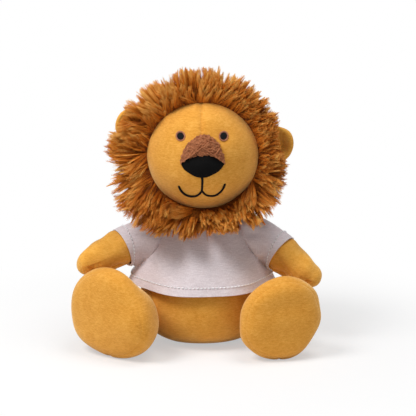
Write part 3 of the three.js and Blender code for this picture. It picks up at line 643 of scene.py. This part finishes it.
# Outlines on the face, as places across and up in mm
NOSE_UPPER = [
    (-13.1, 123.5), (-11.9, 125.3), (-8.8, 127.1), (-5.0, 128.3), (-0.5, 128.7),
    (4.5, 128.4), (8.6, 127.1), (11.6, 125.3), (13.2, 123.5),
]
NOSE_LOWER = [
    (13.2, 123.5), (11.1, 120.4), (7.6, 117.9), (4.4, 116.1), (1.4, 115.2),
    (-1.5, 115.2), (-5.0, 116.1), (-8.2, 117.9), (-11.4, 120.4), (-13.1, 123.5),
]
BRIDGE_TOP = [
    (-13.5, 123.4), (-12.9, 128.1), (-11.4, 131.8), (-8.7, 135.4), (-5.6, 137.9), (-2.4, 139.8), (1.0, 140.5),
    (4.5, 139.9), (7.3, 138.5), (9.8, 135.6), (11.7, 131.7), (12.9, 127.7), (13.3, 123.4),
]


def make_nose():
    outline = np.vstack([catmull(NOSE_UPPER, 10)[:-1], catmull(NOSE_LOWER, 9)[:-1]])
    ragged = 1 + 0.004 * np.sin(np.arange(len(outline)) * 1.7) + 0.003 * np.sin(np.arange(len(outline)) * 2.9)
    middle = np.array([0, 121.6])
    outline = middle + (outline - middle) * ragged[:, None]
    nose = face_pad("nose_satin", middle, outline, 2.4, rings=26, edge=0.3, power=0.55)
    press(nose, waves(points_of(nose), 0.006, 12) * 0.0001)
    finish_piece(nose, nose_cloth, "head", ("nose",))


def make_bridge():
    upper = catmull(BRIDGE_TOP, 9)
    lower = catmull(NOSE_UPPER, 10)[::-1] + [0, -1.2]
    outline = np.vstack([upper, lower])
    bridge = face_pad("nose_bridge_fleece", (0, 132.6), outline, 3.2, rings=60, edge=0.3, lift=0.0)
    points = points_of(bridge)
    curls = np.abs(waves(points, 0.0034, 21, 9)) * -0.00055 + waves(points, 0.0016, 22, 9) * 0.0003
    press(bridge, curls)
    finish_piece(bridge, brown_fleece, "head", ("nose_bridge",))


def floss_tube(name, path, radius, twist):
    """A thread along a path of points in mm, each given with its way out of the cloth."""
    centres = np.array([p for p, _ in path])
    outs = np.array([o for _, o in path])
    across = unit(np.cross(unit(np.gradient(centres, axis=0)), outs))
    lengths = run_along(centres)
    angle = around(10)
    rings = []
    for i in range(len(centres)):
        end = min(1.0, 0.25 + min(lengths[i], lengths[-1] - lengths[i]) / radius)
        ridge = 1 + 0.1 * np.sin(lengths[i] * math.tau / 0.55 * twist + angle * 2)
        ring = centres[i] + (np.cos(angle) * radius * end * ridge)[:, None] * across[i]
        rings.append(ring + (np.sin(angle) * radius * 0.85 * end * ridge)[:, None] * outs[i])
    return closed_form(name, rings, centres[0], centres[-1])


def face_path(points, steps, lift):
    curve = catmull(points, steps)
    placed, outs = face_point(curve[:, 0], curve[:, 1], lift)
    return list(zip(placed, outs))


MOUTH_STEM = [(-0.5, 115.9), (-0.15, 113.5), (-0.3, 109.6), (-0.5, 105.6)]
MOUTH_RIGHT = [
    (-0.5, 106.0), (-1.9, 103.6), (-4.0, 101.9), (-6.4, 101.2),
    (-9.2, 101.6), (-11.7, 103.1), (-13.6, 105.6), (-14.7, 108.6),
]
MOUTH_LEFT = [
    (-0.4, 106.0), (0.5, 104.3), (2.2, 102.7), (4.7, 101.8),
    (7.6, 102.0), (10.1, 103.6), (12.1, 106.1), (13.7, 110.2),
]


def make_mouth():
    parts = []
    for name, rows, twist in (("stem", MOUTH_STEM, 1), ("right", MOUTH_RIGHT, -1), ("left", MOUTH_LEFT, 1)):
        parts.append(floss_tube(f"mouth_{name}", face_path(rows, 22, 0.3), 0.72, twist))
    made = joined(parts, "mouth_floss")
    finish_piece(made, black_floss, "head", ("mouth_stitching",))


def joined(parts, name):
    """One object from several meshes."""
    for o in bpy.context.selected_objects:
        o.select_set(False)
    for part in parts:
        part.select_set(True)
    bpy.context.view_layer.objects.active = parts[0]
    bpy.ops.object.join()
    parts[0].name = name
    parts[0].select_set(False)
    return parts[0]


# Ears


EAR_THICK, EAR_HOLLOW, EAR_SUNK = 2.2, 3.4, 3


def ear_root(rise):
    """Where an ear leaves the head, at a share of the head's half height."""
    wide, deep, high = HEAD_HALF
    along = 11 / deep
    return np.array([wide * math.sqrt(1 - rise ** 2 - along ** 2), 5, HEAD[2] + rise * high])


def make_ear(name, sign, rise, half, drop, seed):
    centre = half - EAR_SUNK
    angle = around(140)

    def layer(share, side):
        # The inside is a hollow, and the rim is a soft roll that leans forwards
        hollow = EAR_HOLLOW - 4.8 * smoothstep(share, 0.3, 0.9)
        depth = side * EAR_THICK * math.sqrt(max(0, 1 - share ** 6))
        reach = half * (1 + share * np.cos(angle)) - EAR_SUNK
        return xyz(sign * reach, depth + hollow, share * np.sin(angle) * 12.8)

    shares = [math.sin(r / 40 * math.pi / 2) for r in range(1, 41)]
    rings = [layer(share, -1) for share in shares] + [layer(share, 1) for share in shares[-2::-1]]
    ends = [(sign * centre, side * EAR_THICK + EAR_HOLLOW, 0) for side in (-1, 1)]
    ear = closed_form(f"ear_{name}_velour", rings, *ends)
    points = points_of(ear)
    press(ear, waves(points, 0.012, seed) * 0.0003)
    rim = np.abs(points[:, 1] + 0.0016)
    outer = np.hypot(points[:, 0] - sign * centre * MM, points[:, 2]) > 0.0105
    seam(ear, np.where(outer, rim, 1), 0.0007, 0.0009)
    set_points(ear, points_of(ear) + (ear_root(rise) - [0, 0, drop]) * [sign, 1, 1] * MM)
    # The ear wears the paler velour, with light painted into it
    finish_piece(ear, amber_painted_lighter, f"ear_{name}", (f"ear_{name}_front", f"ear_{name}_back"))


# Shirt

# Height, half width, half depth and lean
SHIRT_ROWS = np.array([
    [38.7, 46.6, 45.3, -2.8], [42.3, 45.3, 43.8, -2.6], [46.5, 43.7, 41.8, -2.4],
    [52.3, 40.7, 38.9, -2.1], [60.2, 36.6, 34.1, -1.7], [68, 32.5, 29.5, -1.4],
    [75.1, 28.6, 24.8, -1.2], [80, 23.9, 20.3, -1.3], [82, 20.6, 17.6, -1.4],
])
SHIRT_CURVE = catmull(SHIRT_ROWS, 24)
HEM, CLOTH = 38.6, 0.9


def shirt_at(height):
    """The shirt's half width, half depth and lean at a height."""
    return [np.interp(height, SHIRT_CURVE[:, 0], SHIRT_CURVE[:, k]) for k in (1, 2, 3)]


def shirt_folds(height, angle):
    """How far the cloth stands in or out of its plain oval, in mm."""
    up = np.clip((height - HEM) / 42, 0, 1)
    flare = 1.1 * np.maximum(0, 1 - up * 2.2) * np.cos(7 * angle + 0.9 + 0.5 * np.sin(2 * angle))
    drape = 0.55 * np.sin(11 * angle + up * 5) * smoothstep(up, 0.05, 0.5)
    pull = 0.6 * np.abs(np.cos(angle)) ** 3 * np.sin(up * 21 + 3 * angle) * smoothstep(up, 0.3, 0.5)
    spread = 2.4 * np.maximum(0, -np.cos(angle)) ** 4 * (1 - smoothstep(up, 0, 0.55))
    return flare + drape + pull + spread


def shirt_ring(row, columns, extra):
    height, wide, deep, lean = row
    angle = around(columns)
    x, y = np.cos(angle), np.sin(angle)
    reach = shirt_folds(height, angle) + extra
    lift = 1.8 * np.abs(x) ** 3 * max(0.0, 1 - (height - HEM) / 20)
    return xyz(x * (wide + reach), lean + y * (deep + reach), height + lift)


def make_shirt():
    columns = 250
    outer, inner = [], []
    for row in SHIRT_CURVE:
        # The hem is folded double, with a line sewn along its top
        above = row[0] - HEM
        hem = 0.22 * (1 - smoothstep(above, 4.6, 5.4)) - 0.05 * math.exp(-(((above - 5.2) / 0.7) ** 2))
        outer.append(shirt_ring(row, columns, hem))
        inner.append(shirt_ring(row, columns, -CLOTH))
    edge = [shirt_ring(SHIRT_CURVE[0] - [0.35, 0, 0, 0], columns, -CLOTH / 2)]
    shirt = band_form("shirt_jersey", edge + outer + inner[::-1])
    points = points_of(shirt)
    side = np.where(points[:, 0] ** 2 > 0.0004, np.abs(points[:, 1] + 0.0015), 1)
    seam(shirt, side, 0.0005, 0.0009)
    finish_piece(shirt, white_knit, "torso", ("shirt_front", "shirt_back"))


def stitches(name, body, path, outs, pitch, length, radius, lift):
    """A row of short threads round a ring of points in mm, given with the way out of the cloth."""
    path, outs = (np.vstack([rows, rows[:1]]) for rows in (path, outs))
    run = run_along(path)
    columns = 6
    x, y = compass(columns)
    shares = np.array([0.0, 0.12, 0.5, 0.88, 1.0])
    thick = np.array([0.3, 0.85, 1.0, 0.85, 0.3])
    arch = np.array([-1.0, 0.2, 0.75, 0.2, -1.0])
    points, faces = [], []
    for i in range(int(run[-1] / pitch)):
        at = i * pitch + (pitch - length) / 2 + shares * length
        spine, out = (xyz(*[np.interp(at, run, rows[:, k]) for k in range(3)]) for rows in (path, outs))
        out = unit(out)
        across = np.cross(unit(spine[-1] - spine[0]), out)
        spine = spine + out * (lift + arch * radius)[:, None]
        ring = across[:, None] * x[:, None] + out[:, None] * y[:, None]
        base = len(shares) * columns * i
        points.append(spine[:, None] + ring * (radius * thick)[:, None, None])
        faces += [tuple(base + v for v in f) for f in grid_faces(len(shares), columns)]
        faces.append(tuple(range(base, base + columns)))
        faces.append(tuple(reversed(range(base + (len(shares) - 1) * columns, base + len(shares) * columns))))
    made = new_mesh(name, np.array(points).reshape(-1, 3) * MM, faces)
    finish_piece(made, white_thread, body)


def make_hem_stitches():
    height = 43.8
    row = [height, *shirt_at(height)]
    ring = shirt_ring(row, 320, 0)
    stitches("hem_stitches", "torso", ring, ring - np.array([0, row[3], height]), 2.4, 1.6, 0.44, 0.45)


SLEEVE_LENGTH, SLEEVE_ROUND = 19.5, 11.9


def shirt_side(y, z):
    """The shirt's half width in mm at a depth and height."""
    wide, deep, lean = shirt_at(z)
    return wide * np.sqrt(np.maximum(0.02, 1 - ((y - lean) / deep) ** 2))


def make_sleeve(name, sign, seed):
    angle = around(200)
    y = -2 + np.cos(angle) * 15.5
    z = 64.4 + np.sin(angle) * 17.2
    root = xyz(sign * (shirt_side(y, z) - CLOTH), y, z)
    end = xyz(sign * SLEEVE_LENGTH, np.cos(angle) * SLEEVE_ROUND, np.sin(angle) * SLEEVE_ROUND)
    end = arm_place(end * MM, name, sign) / MM
    axis = arm_way(np.array([[sign * 1.0, 0, 0]]), name, sign)[0]
    axis_out = np.array([sign * 1.0, 0, 0.12])
    short = np.linalg.norm(end - root, axis=1)[:, None]
    first = root + axis_out * short * 0.34
    last = end - axis * short * 0.4
    t = np.linspace(0, 1, 60)
    share = t[:, None, None]
    u = 1 - share
    outer = u ** 3 * root + 3 * u * u * share * first + 3 * u * share ** 2 * last + share ** 3 * end
    way = unit(outer - outer.mean(axis=1, keepdims=True))
    # Soft folds gather towards the armhole
    gather = smoothstep(t, 0.0, 0.15) * (1 - smoothstep(t, 0.25, 0.9))
    fold = gather[:, None] * (0.6 * np.sin(angle * 6 + seed)[None, :] + 0.35 * np.sin(angle * 11 + t[:, None] * 4))
    from_end = (1 - t) * np.linalg.norm(end - root, axis=1).mean()
    hem = 0.3 * (1 - smoothstep(from_end, 3.0, 3.6)) - 0.25 * np.exp(-(((from_end - 3.4) / 0.6) ** 2))
    # The sleeve stands out a little from the armhole's seam
    puff = 0.9 * smoothstep(t, 0.0, 0.1)[:, None]
    outer = outer + way * (fold + puff + hem[:, None])[..., None]
    inner = outer - way * CLOTH
    rim = (outer[-1] + inner[-1]) / 2 + axis * 0.3
    sleeve = band_form(f"sleeve_{name}_jersey", [*outer, rim, *inner[::-1]])
    finish_piece(sleeve, white_knit, None, (f"sleeve_{name}",))
    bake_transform(sleeve)
    pick = int(np.argmin(np.abs(from_end - 3.4)))
    stitches(f"sleeve_{name}_stitches", f"arm_{name}", outer[pick], way[pick], 2.3, 1.6, 0.38, 0.4)


def make_neckband():
    """The ribbed band at the neck of the shirt, under the beard."""
    angle = around(360)
    x, y = np.cos(angle), np.sin(angle)
    rib = 0.22 * np.cos(angle * 90)
    rings = []
    for height, wide, deep, out in (
        (78.6, 25.4, 21.8, 0.9), (79.6, 24.6, 21, 1.2), (81, 22.6, 19.4, 1.3),
        (82.2, 20.6, 17.6, 1.1), (82.9, 19.4, 16.6, 0.4), (82.6, 18.9, 16, -0.5),
        (81.2, 20.4, 17.2, -0.7), (79.2, 23.2, 19.6, -0.7), (78.4, 24.4, 20.8, -0.3),
    ):
        reach = out + rib * (out > 0)
        rings.append(xyz(x * (wide + reach), -1.3 + y * (deep + reach), height))
    band = band_form("neckband_rib", rings)
    finish_piece(band, white_knit, "torso", ("shirt_neckband",))


# Mane and other fur

# Rows of the mane from the face to the back: the head's share, the fur's share and the place along the head
MANE_ROWS = np.array([
    [0.9, 0, -0.4], [0.92, 0.18, -0.5], [0.94, 0.5, -0.57], [0.97, 0.82, -0.52], [1, 1, -0.36], [1, 0.99, -0.14],
    [1, 0.8, 0.04], [0.99, 0.5, 0.17], [0.9, 0.46, 0.48], [0.68, 0.52, 0.79], [0.36, 0.42, 1.04], [0, 0, 1.17],
])
BEARD_ROWS = np.array([
    [0.88, 0, -0.42], [0.9, 0.14, -0.72], [0.95, 0.55, -0.97], [1, 0.9, -1], [1, 0.92, -0.86], [1, 0.5, -0.62],
    [1, 0.2, -0.2], [0.99, 0.16, 0.18], [0.89, 0.24, 0.5], [0.68, 0.4, 0.8], [0.36, 0.42, 1.04], [0, 0, 1.17],
])
# Places on the head, from -1, its front, to 1, its back, that each row of the mane grows from
ROOT_PLACES = [-0.43, -0.42, -0.4, -0.36, -0.29, -0.2, -0.07, 0.1, 0.38, 0.7, 0.92, 0.98]
LAST_ROW = 11
# Where the fur lies lower round the ears, or stands fuller over the cheeks: angle, width and share
FUR_SHAPE = (
    (0.17, 0.22, 0.26), (2.72, 0.1, 0.12), (3.84, 0.65, -0.19), (3.95, 0.34, -0.32),
    (4.93, 0.15, 0.2), (5.5, 0.32, -0.34), (5.84, 0.2, -0.22),
)
# How far it stands to the lion's left, to its right, above and below, in mm
FUR_REACH = (14.3, 21.0, 17.3, 12.6)


def fur_reach(angle):
    """How far the fur stands beyond the head round the face, in mm."""
    left, right, above, below = FUR_REACH
    across = np.cos(angle) ** 2 * np.where(np.cos(angle) > 0, left, right)
    upright = np.sin(angle) ** 2 * np.where(np.sin(angle) > 0, above, below)
    parting = 1.0
    for place, wide, share in FUR_SHAPE:
        parting = parting - share * np.exp(-((((angle - place + math.pi) % math.tau - math.pi) / wide) ** 2))
    return (across + upright) * parting


def mane_surface(angle, row, share=1.0):
    """Points of the mane's outside in mm at an angle round the face and a row from 0 to 11."""
    beard = smoothstep(-np.sin(angle), 0.3, 0.85)
    low = np.clip(row.astype(int), 0, LAST_ROW - 1)
    part = (row - low)[:, None]
    plain = MANE_ROWS[low] * (1 - part) + MANE_ROWS[low + 1] * part
    hanging = BEARD_ROWS[low] * (1 - part) + BEARD_ROWS[low + 1] * part
    value = plain * (1 - beard[:, None]) + hanging * beard[:, None]
    fullest = value[:, 1] * fur_reach(angle) * share
    forward = -0.4 + (value[:, 2] + 0.4) * np.where(value[:, 2] < -0.4, share, 1)
    wide, deep, high = HEAD_HALF
    x, z = (np.cos(angle) * (value[:, 0] * wide + fullest), np.sin(angle) * (value[:, 0] * high + fullest))
    return HEAD + xyz(x, forward * deep, z)


def head_surface(angle, forward, lift):
    """Points of the head in mm at an angle round the face and a place from -1, its front, to 1, its back."""
    ring = np.sqrt(np.maximum(0, 1 - forward ** 2))
    ball = xyz(np.cos(angle) * ring, forward, np.sin(angle) * ring)
    out = unit(ball / HEAD_HALF)
    return HEAD + ball * HEAD_HALF + out * lift, out


def make_mane_ground():
    """The cloth under the fur."""
    angle = around(160)
    outer = [mane_surface(angle, np.full(160, row), 0.36) for row in np.linspace(0.4, 10.9, 60)]
    inner = [head_surface(angle, np.full(160, f), -1.5)[0] for f in np.linspace(-0.42, 0.97, 30)]
    made = closed_form("mane_cloth", inner + outer, *[HEAD + [0, back, 0] for back in (37, 41.2)])
    finish_piece(made, ground, "head", ("mane", "head_back_panel"))


def strands(name, body, replaced, roots, tips, bends, widths, tones, sides=3, steps=4):
    """Tapered hairs from roots to tips in mm, each bent towards a third point, with their tone and place kept."""
    count = len(roots)
    t = np.linspace(0, 1, steps + 1)
    u = t[:, None]
    spine = (1 - u) ** 2 * roots[:, None] + 2 * u * (1 - u) * bends[:, None] + u ** 2 * tips[:, None]
    ahead = unit(np.gradient(spine, axis=1))
    across = unit(np.cross(ahead, np.where(np.abs(ahead[..., 2:3]) > 0.9, [1.0, 0, 0], [0, 0, 1.0])))
    up = np.cross(ahead, across)
    radius = (widths[:, None] * (1 - 0.82 * t ** 1.6))[:, :, None, None]
    x, y = (way[:, None] for way in compass(sides))
    points = spine[:, :, None] + across[:, :, None] * (x * radius) + up[:, :, None] * (y * radius)
    points = points.reshape(-1, 3)
    per = (steps + 1) * sides
    quads = (np.arange(count)[:, None, None] * per + grid_faces(steps + 1, sides)).reshape(-1, 4)
    mesh = bpy.data.meshes.new(name)
    mesh.vertices.add(len(points))
    mesh.vertices.foreach_set("co", (points * MM).astype(np.float32).ravel())
    mesh.loops.add(quads.size)
    mesh.loops.foreach_set("vertex_index", quads.astype(np.int32).ravel())
    mesh.polygons.add(len(quads))
    mesh.polygons.foreach_set("loop_start", np.arange(0, quads.size, 4, dtype=np.int32))
    mesh.update(calc_edges=True)
    mesh.validate()
    mesh.polygons.foreach_set("use_smooth", np.ones(len(mesh.polygons), bool))
    for key, values in (("tone", np.repeat(tones, per)), ("along", np.tile(np.repeat(t, sides), count))):
        mesh.attributes.new(key, "FLOAT", "POINT").data.foreach_set("value", values.astype(np.float32))
    finish_piece(new_object(name, mesh), fur, body, replaced)


def nearest(angle, row, other_angle, other_row):
    """For each place on the mane the nearest of some others."""
    def spots(turn, place):
        return xyz(np.cos(turn) * 9, np.sin(turn) * 9, place * 1.3)

    tree = KDTree(len(other_angle))
    for i, spot in enumerate(spots(other_angle, other_row)):
        tree.insert(spot, i)
    tree.balance()
    return np.array([tree.find(spot)[1] for spot in spots(angle, row)])


def make_mane(name, count, low, high, width, crowd):
    """Hairs that grow from the head between two rows of the mane, in fine locks that gather into tufts."""
    made = np.random.default_rng(count + int(low * 10))
    tufts, locks = 140, count // 20
    angle = made.uniform(0, math.tau, count)
    row = low + (high - low) * made.uniform(0, 1, count) ** crowd
    lock_angle = made.uniform(0, math.tau, locks)
    lock_row = low + (high - low) * made.uniform(0, 1, locks) ** crowd
    tuft_angle = made.uniform(0, math.tau, tufts)
    tuft_row = made.uniform(low, high, tufts)
    lock_of = nearest(angle, row, lock_angle, lock_row)
    tuft_of = nearest(lock_angle, lock_row, tuft_angle, tuft_row)

    def grown(at, place, lean, lie, reach):
        """Roots, the way out and tips: the hairs by the face lie back over those behind them."""
        root, out = head_surface(at, np.interp(place, np.arange(LAST_ROW + 1), ROOT_PLACES), 0)
        lain = np.clip(place + lie * (1 - smoothstep(place, 4.5, 7.5)), 0, LAST_ROW)
        return root, out, root + (mane_surface(at + lean, lain) - root) * reach[:, None]

    tuft_lean = made.normal(0, 0.09, tufts)
    tuft_lie = made.uniform(0.3, 1.7, tufts)
    tuft_tip = grown(tuft_angle, tuft_row, tuft_lean, tuft_lie, made.uniform(0.94, 1.14, tufts))[2]
    tuft_tip += made.normal(0, 1.2, (tufts, 3))
    lock_lean = tuft_lean[tuft_of] + made.normal(0, 0.06, locks)
    lock_lie = np.clip(tuft_lie[tuft_of] + made.normal(0, 0.35, locks), 0, 2.2)
    lock_tip = grown(lock_angle, lock_row, lock_lean, lock_lie, made.uniform(0.84, 1.08, locks))[2]
    gather = made.uniform(0.25, 0.62, locks)[:, None]
    lock_tip += (tuft_tip[tuft_of] - lock_tip) * gather + made.normal(0, 0.9, (locks, 3))
    place = np.clip(row + made.normal(0, 0.25, count), 0, LAST_ROW)
    own_reach = made.uniform(0.8, 1.05, count)
    roots, out, own_tip = grown(angle, place, lock_lean[lock_of], lock_lie[lock_of], own_reach)
    pull = made.uniform(0.6, 0.97, count)[:, None]
    tips = own_tip + (lock_tip[lock_of] - own_tip) * pull + made.normal(0, 0.15, (count, 3))
    # The fur falls at the back, and most at the neck, which it covers
    neck = smoothstep(-np.sin(angle), 0.25, 0.9) * smoothstep(place, 4.2, 5.6) * (1 - smoothstep(place, 8, 9.6))
    fall = 7.5 * smoothstep(place, 5.2, 8)
    tips += fall[:, None] * (out * out[:, 2:3] - [0, 0, 1]) + out * (0.12 * fall)[:, None]
    tips[:, 2] -= 10 * neck
    # Crossed hairs hide the cloth where they part behind the head
    tips += made.normal(0, 2.2, (count, 3)) * smoothstep(place, 6.8, 8.6)[:, None]
    length = np.linalg.norm(tips - roots, axis=1)[:, None]
    bends = (roots + tips) / 2 + out * length * made.uniform(0.04, 0.22, count)[:, None]
    bends += made.normal(0, 0.6, (locks, 3))[lock_of] + made.normal(0, 0.4, (count, 3))
    tones = 0.5 + made.normal(0, 0.1, tufts)[tuft_of][lock_of] + made.normal(0, 0.26, locks)[lock_of]
    # Painted light: the fur is painted paler over the crown, where the light from above falls on it, and paler in
    # the beard than at the sides
    tones += 0.2 * np.sin(angle) ** 2 - 0.13 + 0.16 * np.maximum(0, np.sin(angle))
    tones = np.clip(tones + made.normal(0, 0.09, count), 0, 1)
    widths = width * made.uniform(0.7, 1.25, count)
    for start in range(0, count, HAIRS_PER_MESH):
        parts = [rows[start : start + HAIRS_PER_MESH] for rows in (roots, tips, bends, widths, tones)]
        strands(f"{name}_{start // HAIRS_PER_MESH + 1}", "head", (), *parts)


# Tail

TAIL_ROUTE = np.array([
    [0, 0, 0], [0, 0.35, 0.35], [0.08, 0.68, 0.8], [0.32, 0.93, 0.8], [0.65, 1, 0.62], [1, 0.95, 0.62],
])


def make_tail():
    route = catmull(TAIL_ROUTE * [30, 26, -7.9], 16) + [0, 34.5, 12.5]
    ahead = unit(np.gradient(route, axis=0))
    across = unit(xyz(-ahead[:, 1], ahead[:, 0], 0))
    up = np.cross(ahead, across)
    x, y = (way[:, None] for way in compass(72))
    share = np.linspace(0, 1, len(route))
    radius = 4.05 + 0.95 * (1 - smoothstep(share, 0, 0.12))
    radius *= np.sqrt(np.maximum(0.05, 1 - np.maximum(0, (share - 0.93) / 0.07) ** 2))
    rings = [route[i] + x * radius[i] * across[i] + y * radius[i] * up[i] for i in range(len(route))]
    tail = closed_form("tail_velour", rings, route[0], route[-1])
    points = points_of(tail)
    press(tail, waves(points, 0.009, 31) * 0.0002)
    finish_piece(tail, amber, "tail", ("tail",))
    make_tuft(route[-1], ahead[-1], across[-1], up[-1], 5200, 60)


def make_tuft(end, way, side, rise, count, locks):
    """The tail's tuft, from the tail's end, its way on and the two ways across it."""

    def outwards(turn):
        return np.cos(turn)[:, None] * side + np.sin(turn)[:, None] * rise

    lock_turn = random.uniform(0, math.tau, locks)
    lock_out = random.uniform(0.3, 1.0, locks)
    turn = random.uniform(0, math.tau, count)
    owner = np.abs((turn[:, None] - lock_turn[None] + math.pi) % math.tau - math.pi).argmin(1)
    start = random.uniform(-1.5, 9, count)
    ball = 3.3 * np.sqrt(np.clip(1 - (np.maximum(start, 0) / 11) ** 2, 0.1, 1))
    ring = outwards(turn)
    roots = end + start[:, None] * way + ring * ball[:, None] * random.uniform(0.4, 1, count)[:, None]
    lock_tip = end + way * random.uniform(18, 27, locks)[:, None] + outwards(lock_turn) * (lock_out * 3.6)[:, None]
    own = roots + way * random.uniform(8, 17, count)[:, None] + ring * 1.5
    tips = own * 0.45 + lock_tip[owner] * 0.55 + random.normal(0, 0.5, (count, 3))
    bends = (roots + tips) / 2 + ring * random.uniform(2.0, 3.4, count)[:, None]
    for spot in (roots, tips, bends):
        spot[:, 2] = np.maximum(spot[:, 2], 0.4)
    tones = np.clip(random.normal(0.5, 0.15, locks)[owner] + random.normal(0, 0.1, count), 0, 1)
    widths = 0.2 * random.uniform(0.8, 1.2, count)
    strands("tail_tuft_fur", "tail", ("tail_tuft",), roots, tips, bends, widths, tones)


def make_neck():
    """The fur-covered wad between body and head, out of sight at rest."""
    x, y = compass(96)
    tilt = np.arange(1, 40) / 40 * math.pi
    middle, size = np.array([0, -3, 85.5]), 12
    rings = [middle + size * xyz(x * math.sin(t), y * math.sin(t), math.cos(t)) for t in tilt]
    neck = closed_form("neck_cloth", rings, *[middle + [0, 0, up] for up in (size, -size)])
    press(neck, waves(points_of(neck), 0.006, 41) * 0.00015)
    finish_piece(neck, ground, "neck", ("neck_stuffing",))


# The lion

make_body()
# Each side's leg (splay, width and height of the foot) and ear (rise, half size, drop)
for name, sign, leg, ear, seed in (
    ("left", 1, (14, 53, 53.2), (0.1, 12.9, 0), 5),
    ("right", -1, (35, 63, 57.5), (0.48, 14.2, 2.0), 6),
):
    make_leg(name, sign, *leg, seed)
    make_arm(name, sign, seed + 10)
    make_ear(name, sign, *ear, seed + 20)
    make_eye(name, sign)
make_head()
make_nose()
make_bridge()
make_mouth()
make_shirt()
make_hem_stitches()
for name, sign, seed in (("left", 1, 1.0), ("right", -1, 2.4)):
    make_sleeve(name, sign, seed)
make_neckband()
make_neck()
make_mane_ground()
make_mane("mane_front_fur", 60000, 0.0, 5.2, 0.15, 1.35)
make_mane("mane_back_fur", 37500, 4.8, 10.9, 0.21, 0.9)
make_tail()


# Floor, camera and light


def mixed(nodes, share, first, second):
    return nodes.node("ShaderNodeMixShader", {0: share, 1: first, 2: second}).outputs[0]


def make_floor():
    """A pale floor that keeps the shadow near the lion and turns into the white background away from it."""
    material = bpy.data.materials.new("floor_white")
    material.use_nodes = True
    m = Nodes(material.node_tree)
    cloth = {"Base Color": (0.84, 0.835, 0.835, 1), "Roughness": 0.95, "Specular IOR Level": 0.05}
    shader = m.node("ShaderNodeBsdfPrincipled", cloth).outputs[0]
    apart = m.node("ShaderNodeVectorMath", {0: m.node("ShaderNodeTexCoord").outputs["Object"]}, operation="LENGTH")
    reach = {"From Min": 0.06, "From Max": 0.24, "To Min": 0.48, "To Max": 1.0, "Value": apart.outputs["Value"]}
    fade = m.node("ShaderNodeMapRange", reach, interpolation_type="SMOOTHSTEP").outputs[0]
    seen = m.maths("MULTIPLY", m.node("ShaderNodeLightPath").outputs["Is Camera Ray"], fade)
    white = m.node("ShaderNodeEmission", {"Color": WHITE, "Strength": 1.0}).outputs[0]
    m.node("ShaderNodeOutputMaterial", {"Surface": mixed(m, seen, shader, white)})
    floor = new_mesh("studio_floor", [(-6, -6, 0), (6, -6, 0), (6, 6, 0), (-6, 6, 0)], [(0, 1, 2, 3)])
    floor.data.materials.append(material)


def make_world():
    """Soft light from all round, behind which the camera sees plain white."""
    world = bpy.data.worlds.new("studio")
    bpy.context.scene.world = world
    world.use_nodes = True
    m = Nodes(world.node_tree)
    path = m.node("ShaderNodeLightPath").outputs
    seen = m.maths("MAXIMUM", path["Is Camera Ray"], path["Is Glossy Ray"])
    soft, white = (m.node("ShaderNodeBackground", {"Color": WHITE, "Strength": s}).outputs[0] for s in (0.26, 1.0))
    m.node("ShaderNodeOutputWorld", {0: mixed(m, seen, soft, white)})


def aimed(name, data, place, aim):
    """A light or camera in its place, turned to what it looks at."""
    made = new_object(name, data)
    made.location = place
    made.rotation_euler = (Vector(aim) - Vector(place)).to_track_quat("-Z", "Y").to_euler()
    return made


def area_light(name, place, aim, size, power):
    data = bpy.data.lights.new(name, "AREA")
    data.shape = "DISK"
    data.size = size
    data.energy = power
    aimed(name, data, place, aim)


make_floor()
make_world()
area_light("key", (-0.5, -0.34, 0.84), (0, 0, 0.1), 0.45, 6.9)
area_light("fill", (0.9, -1.1, 0.6), (0, 0, 0.08), 1.2, 0.6)
area_light("top", (0.22, -0.08, 1.0), (0, 0, 0.08), 0.55, 4.2)

# Its aim, its slope and its distance come from the fit to the photograph
target = Vector((0.0033, 0, 0.0864))
rise = math.radians(11)
place = target + Vector((0, -math.cos(rise), math.sin(rise))) * 0.763
camera = aimed("camera", bpy.data.cameras.new("camera"), place, target)
camera.data.lens = 100
camera.data.sensor_width = 36
camera.data.clip_start = 0.01
camera.data.clip_end = 20
bpy.context.scene.camera = camera
bpy.context.scene.view_settings.view_transform = "Standard"
